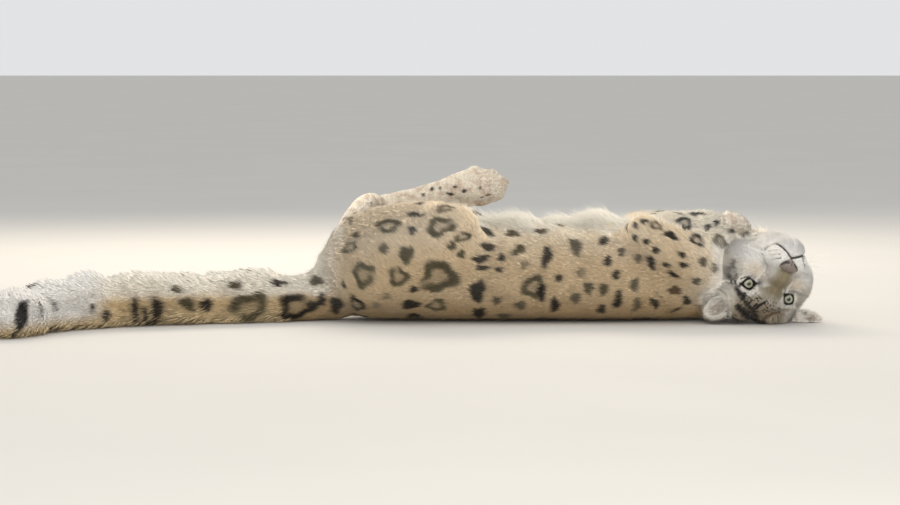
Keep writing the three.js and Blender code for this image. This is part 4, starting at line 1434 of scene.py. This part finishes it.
def unwrap(points, nearest, share):
    """Where each root falls on the flat map of the skin."""
    d = line_directions[nearest]
    spoke = points * 1000 - line_points[nearest]
    side = unit(np.cross(d, np.array([0, 0.2, 1.0])))
    top = np.cross(side, d)
    angle = np.arctan2((spoke * top).sum(1), (spoke * side).sum(1)) / (2 * np.pi) + 0.5
    ids = line_ids[nearest].astype(int)
    spans = np.array([line_along[line_ids == k].max() + LINE_STEP for k in range(len(line_names))])
    row, column = np.divmod(ids, FIELD_COLUMNS)
    u = in_field(column * FIELD, np.clip(line_along[nearest] / spans[ids], 0, 1))
    v = in_field(row * FIELD, angle)
    rays = unit(to_head(points) - HEAD_CORE)
    head_u = in_field(HEAD_FIELD, np.arctan2(rays[:, 1], rays[:, 0]) / (2 * np.pi) + 0.5)
    head_v = in_field(HEAD_FIELD, np.arcsin(np.clip(rays[:, 2], -1, 1)) / np.pi + 0.5)
    is_head = share > 0.5
    return np.stack([np.where(is_head, head_u, u), np.where(is_head, head_v, v)], 1)


unwrap_place = unwrap(roots, nearest, share)

# %% Coat pieces
TRIANGLES_PER_PIECE = 190e3
PIECE_OF = {"thigh": "hind", "shank": "hind", "foot": "hind", "arm": "fore", "forearm": "fore", "paw": "fore"}
labels = np.array([PIECE_OF.get(p, p) for p in part], dtype=object)
side_label = np.where(roots[:, 1] < 0, "left", "right")
labels = np.where(np.isin(labels, ["trunk", "hind", "fore"]), labels + "_" + side_label, labels)
labels = np.where(share > 0.5, "head", labels)
coat = []
for label in sorted(set(labels)):
    pick = np.flatnonzero((labels == label) & keep)
    bent = label == "tail"
    triangles_each = len(BENT_TUFT if bent else STRAIGHT_TUFT)
    pieces = max(1, math.ceil(len(pick) * triangles_each / TRIANGLES_PER_PIECE))
    order = pick[np.argsort(roots[pick, 0])]
    for k, part_of in enumerate(np.array_split(order, pieces)):
        name = f"coat_{label}" + (f"_{k + 1}" if pieces > 1 else "")
        coat.append(build_tufts(name, part_of, bent))
        print(name, "tufts:", len(part_of))
print("coat triangles:", sum(len(piece.data.polygons) for piece in coat))

# %% [markdown]
# ## Eyes, nose and whiskers
#
# The eyes are pale grey-green with a small round pupil and a dark edge. They are wet, so they get a
# smooth clear coat. The colours follow the angle from the line of sight, kept on the points.


# %% Eyes
def eyeball(name, hand):
    """A ball with a low cornea, turned partly towards the viewer."""
    bm = bmesh.new()
    bmesh.ops.create_uvsphere(bm, u_segments=64, v_segments=48, radius=EYE_RADIUS * MM)
    piece_centre = Vector(from_head(EYE_CENTRES[hand]))
    gaze = (Vector(HEAD_AXES[0]) * 0.9 + (eye_point - piece_centre).normalized() * 0.25).normalized()
    turn = gaze.to_track_quat("Z", "Y").to_matrix().to_4x4()
    for v in bm.verts:
        bulge = max(0.0, v.co.normalized().z - 0.72)
        v.co *= 1 + 0.35 * bulge
    angles = [v.co.normalized().angle(Vector((0, 0, 1))) for v in bm.verts]
    bmesh.ops.transform(bm, matrix=Matrix.Translation(piece_centre) @ turn, verts=bm.verts)
    piece = object_from(name, bm)
    layer = piece.data.attributes.new("sight", "FLOAT", "POINT")
    layer.data.foreach_set("value", angles)
    return piece


eyes = {side: eyeball(f"eye_{side}_ball", hand) for side, hand in (("left", 1), ("right", -1))}

# %% Nose
NOSE_CENTRE = np.array([101.5, 0, -60.5])
NOSE_RADII = (11, 23, 13)
# Across, up and size of the dents that make one nostril.
NOSTRIL = ((7, -6, 2.4), (10, -5.2, 2.9), (13.2, -3, 2.5), (16, 0.2, 2.0), (18, 3, 1.5))


def nose_pad():
    """A soft rounded pad, wider above, with two comma-shaped nostrils and a groove down its middle."""
    bm = bmesh.new()
    bmesh.ops.create_uvsphere(bm, u_segments=96, v_segments=64, radius=1)
    piece = object_from("nose_pad", bm)
    p = points_of(piece.data)
    local = p * np.array(NOSE_RADII)
    local[:, 1] *= 1 - 0.5 * step(3, -11, local[:, 2])
    local[:, 0] -= 0.012 * local[:, 1] ** 2
    ray = unit(p)
    dent = np.zeros(len(p))
    for hand in (1, -1):
        for y, z, size in NOSTRIL:
            d = np.hypot(local[:, 1] - hand * y, local[:, 2] - z) / size
            dent = np.maximum(dent, np.exp(-(d**3)) * (local[:, 0] > -6) * 1.6)
    dent += 1.2 * np.exp(-((local[:, 1] / 1.0) ** 2)) * (local[:, 0] > 0) * step(3, -4, local[:, 2])
    move_points(piece.data, from_head(local + NOSE_CENTRE - ray * dent[:, None]))
    # The depth of the nostrils and of the groove is kept on the points, for the painted shade in them.
    layer = piece.data.attributes.new("nostril", "FLOAT", "POINT")
    layer.data.foreach_set("value", np.clip(dent / 1.2, 0, 1).astype(np.float32))
    return piece


nose = nose_pad()

# %% Whiskers
WHISKER_RADIUS = 0.00042
WHISKER_STATIONS = 7


def edges_within(ring):
    """The edges between the points of one ring."""
    return {e for v in ring for e in v.link_edges if all(w in ring for w in e.verts)}


def add_whisker(bm, root, way, reach):
    """A thin cone from its root along a direction, bent a little towards the chin."""
    bend = Vector(HEAD_AXES[2]) * -0.22 * reach
    turn = Vector(way).to_track_quat("Z", "Y").to_matrix().to_4x4()
    previous = None
    for station in range(WHISKER_STATIONS):
        t = station / (WHISKER_STATIONS - 1)
        centre = root + Vector(way) * reach * t + bend * t * t
        radius = WHISKER_RADIUS * (1 - 0.85 * t)
        is_end = station in (0, WHISKER_STATIONS - 1)
        ring = bmesh.ops.create_circle(bm, segments=5, radius=radius, cap_ends=is_end)["verts"]
        bmesh.ops.transform(bm, matrix=Matrix.Translation(centre) @ turn, verts=ring)
        if previous:
            edges = edges_within(ring)
            edges |= edges_within(previous)
            bmesh.ops.bridge_loops(bm, edges=list(edges))
        previous = ring


def whiskers():
    """Long stiff white hairs in rows on both sides of the muzzle."""
    bm = bmesh.new()
    for hand in (1, -1):
        for row in range(4):
            for k in range(4):
                spot = np.array([92 - 11 * k, hand * (20 + 5 * k), -60 - 6 * row])
                root = Vector(from_head(on_masses(spot) - 4 * unit(spot - HEAD_CORE)))
                way = unit(np.array([0.15 - 0.25 * k, hand * 1.0, 0.25 - 0.22 * row])) @ HEAD_AXES
                reach = (52 + 9 * k) * MM * rng.uniform(0.85, 1.1)
                add_whisker(bm, root, way, reach)
    bmesh.ops.recalc_face_normals(bm, faces=bm.faces)
    return object_from("whiskers", bm)


whisker_piece = whiskers()

# %% [markdown]
# ## Materials
#
# Fur is dry, soft and matt: its colour comes from the points, and a light sheen gives the pale edge
# that light leaves along hair. The nose is moist leather, and the eyes are the only glossy thing.


# %% Materials
def new_material(name):
    made = bpy.data.materials.new(name)
    made.use_nodes = True
    tree = made.node_tree
    shader = next(n for n in tree.nodes if n.type == "BSDF_PRINCIPLED")
    return made, tree, shader


def fur_material(name, grain_mm, shade):
    """Guard hair: matt, with fine streaks of lighter and darker hairs in each tuft."""
    made, tree, shader = new_material(name)
    colour = add_node(tree, "ShaderNodeVertexColor", {"layer_name": "coat_colour"})
    place = add_node(tree, "ShaderNodeTexCoord")
    grain = add_node(
        tree, "ShaderNodeTexNoise", Vector=place.outputs["Object"], Scale=1 / (grain_mm * MM), Detail=2.0
    )
    ramp = add_node(tree, "ShaderNodeMapRange", i0=grain.outputs["Fac"], i1=0.3, i2=0.7, i3=shade, i4=1.08)
    mixed = add_node(tree, "ShaderNodeMix", {"data_type": "RGBA", "blend_type": "MULTIPLY"}, i0=1.0)
    tree.links.new(colour.outputs["Color"], mixed.inputs[6])
    tree.links.new(ramp.outputs["Result"], mixed.inputs[7])
    tree.links.new(mixed.outputs[2], shader.inputs["Base Color"])
    shader.inputs["Roughness"].default_value = 0.72
    shader.inputs["Specular IOR Level"].default_value = 0.25
    shader.inputs["Sheen Weight"].default_value = 0.15
    shader.inputs["Sheen Roughness"].default_value = 0.4
    return made


guard_hair = fur_material("guard_hair", 2.5, 0.92)
under_fur = fur_material("under_fur", 4.0, 0.8)


def eye_material():
    """A wet eye: pupil, pale iris and dark edge, by the angle from the line of sight."""
    made, tree, shader = new_material("wet_eye")
    sight = add_node(tree, "ShaderNodeAttribute", {"attribute_name": "sight"})
    ramp = add_node(tree, "ShaderNodeValToRGB", Fac=sight.outputs["Fac"])
    stops = [
        (0.0, "#050505"),
        (0.2, "#050505"),
        (0.225, "#62644f"),
        (0.36, "#a6a793"),
        (0.62, "#8c8c78"),
        (0.7, "#23221a"),
        (0.76, "#14110f"),
        (0.9, "#1a1512"),
    ]
    elements = ramp.color_ramp.elements
    while len(elements) < len(stops):
        elements.new(0.5)
    for element, (place, colour) in zip(elements, stops):
        element.position = place
        element.color = (*linear(colour), 1)
    tree.links.new(ramp.outputs["Color"], shader.inputs["Base Color"])
    shader.inputs["Roughness"].default_value = 0.12
    shader.inputs["Coat Weight"].default_value = 0.6
    shader.inputs["Coat Roughness"].default_value = 0.03
    return made


def nose_material():
    """Moist nose leather: greyish brown and finely pebbled, with painted shade inside the nostrils and along
    the groove.
    """
    made, tree, shader = new_material("nose_leather")
    place = add_node(tree, "ShaderNodeTexCoord")
    pebbles = add_node(tree, "ShaderNodeTexVoronoi", Vector=place.outputs["Object"], Scale=1 / (1.4 * MM))
    tint = add_node(tree, "ShaderNodeTexNoise", Vector=place.outputs["Object"], Scale=1 / (9 * MM))
    ramp = add_node(tree, "ShaderNodeValToRGB", Fac=tint.outputs["Fac"])
    ramp.color_ramp.elements[0].color = (*linear("#6c615b"), 1)
    ramp.color_ramp.elements[1].color = (*linear("#8b7f78"), 1)
    nostril_shade = add_node(tree, "ShaderNodeAttribute", {"attribute_name": "nostril"})
    # Painted shade: dark inside the nostrils and along the groove, where shade falls.
    mixed = add_node(tree, "ShaderNodeMix", {"data_type": "RGBA"}, i0=nostril_shade.outputs["Fac"])
    tree.links.new(ramp.outputs["Color"], mixed.inputs[6])
    mixed.inputs[7].default_value = (*linear("#1c1210"), 1)
    tree.links.new(mixed.outputs[2], shader.inputs["Base Color"])
    relief = add_node(
        tree, "ShaderNodeBump", Height=pebbles.outputs["Distance"], Strength=0.35, Distance=0.0006
    )
    tree.links.new(relief.outputs["Normal"], shader.inputs["Normal"])
    shader.inputs["Roughness"].default_value = 0.42
    return made


def whisker_material():
    """Keratin whisker: white, smooth and slightly shiny."""
    made, tree, shader = new_material("white_whisker")
    place = add_node(tree, "ShaderNodeTexCoord")
    tint = add_node(tree, "ShaderNodeTexNoise", Vector=place.outputs["Object"], Scale=1 / (12 * MM))
    ramp = add_node(tree, "ShaderNodeValToRGB", Fac=tint.outputs["Fac"])
    ramp.color_ramp.elements[0].color = (*linear("#d9d4ca"), 1)
    ramp.color_ramp.elements[1].color = (*linear("#fbfaf6"), 1)
    tree.links.new(ramp.outputs["Color"], shader.inputs["Base Color"])
    shader.inputs["Roughness"].default_value = 0.35
    return made


def dress(piece, material):
    piece.data.materials.clear()
    piece.data.materials.append(material)


dress(skin, under_fur)
for piece in coat:
    dress(piece, guard_hair)
for piece in eyes.values():
    dress(piece, eye_material())
dress(nose, nose_material())
dress(whisker_piece, whisker_material())

# %% [markdown]
# ## Floor and light
#
# A pale floor and big soft lamps, as in a studio. The photograph's light comes from above and behind,
# so a warm lamp behind draws a bright edge along the belly and the tail, and a broad one in front
# fills the shade.

# %% Floor and lights
FLOOR_REACH = 60
WORLD_STRENGTH = 0.93
bm = bmesh.new()
bmesh.ops.create_grid(bm, x_segments=1, y_segments=1, size=FLOOR_REACH)
floor = object_from("floor", bm)
floor_paint, tree, shader = new_material("pale_floor")
place = add_node(tree, "ShaderNodeTexCoord")
cloud = add_node(tree, "ShaderNodeTexNoise", Vector=place.outputs["Object"], Scale=1.5)
ramp = add_node(tree, "ShaderNodeValToRGB", Fac=cloud.outputs["Fac"])
ramp.color_ramp.elements[0].color = (*linear("#c6c3be"), 1)
ramp.color_ramp.elements[1].color = (*linear("#cdcac5"), 1)
tree.links.new(ramp.outputs["Color"], shader.inputs["Base Color"])
shader.inputs["Roughness"].default_value = 0.9
dress(floor, floor_paint)


def lamp(name, place, target, size, power, colour="#ffffff"):
    light = bpy.data.lights.new(name, "AREA")
    light.shape = "RECTANGLE"
    light.size, light.size_y = size
    light.energy = power
    light.color = linear(colour)
    stand = bpy.data.objects.new(name, light)
    stand.location = place
    stand.rotation_euler = (Vector(target) - Vector(place)).to_track_quat("-Z", "Y").to_euler()
    bpy.context.scene.collection.objects.link(stand)


lamp("back_light", (-0.6, 2.4, 2.2), (-0.2, 0, 0.15), (3.0, 1.2), 74, "#fff1dc")
lamp("top_light", (0.3, -0.5, 3.2), (-0.1, 0, 0.1), (3.5, 2.5), 35, "#fffaf2")
lamp("front_fill", (0.6, -4.4, 1.3), (-0.1, 0, 0.1), (4.0, 1.6), 76, "#fff9f1")
world = bpy.data.worlds.new("studio")
world.use_nodes = True
world.node_tree.nodes["Background"].inputs["Color"].default_value = (*linear("#e9ebec"), 1)
world.node_tree.nodes["Background"].inputs["Strength"].default_value = WORLD_STRENGTH
bpy.context.scene.world = world
bpy.context.scene.view_settings.view_transform = "Standard"

# %% [markdown]
# ## Hand the pieces to the frame
#
# The skin stands for every solid of flesh. The eyes and the nose each stand for their own solid.

# %% Ride and replace
flesh = [name for name in nodes if not name.startswith("eye") and name != "nose"]
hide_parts(*flesh)
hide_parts("eye_left")
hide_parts("eye_right")
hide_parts("nose")
for piece in [skin, nose, whisker_piece, *eyes.values(), *coat]:
    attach(piece, "root")
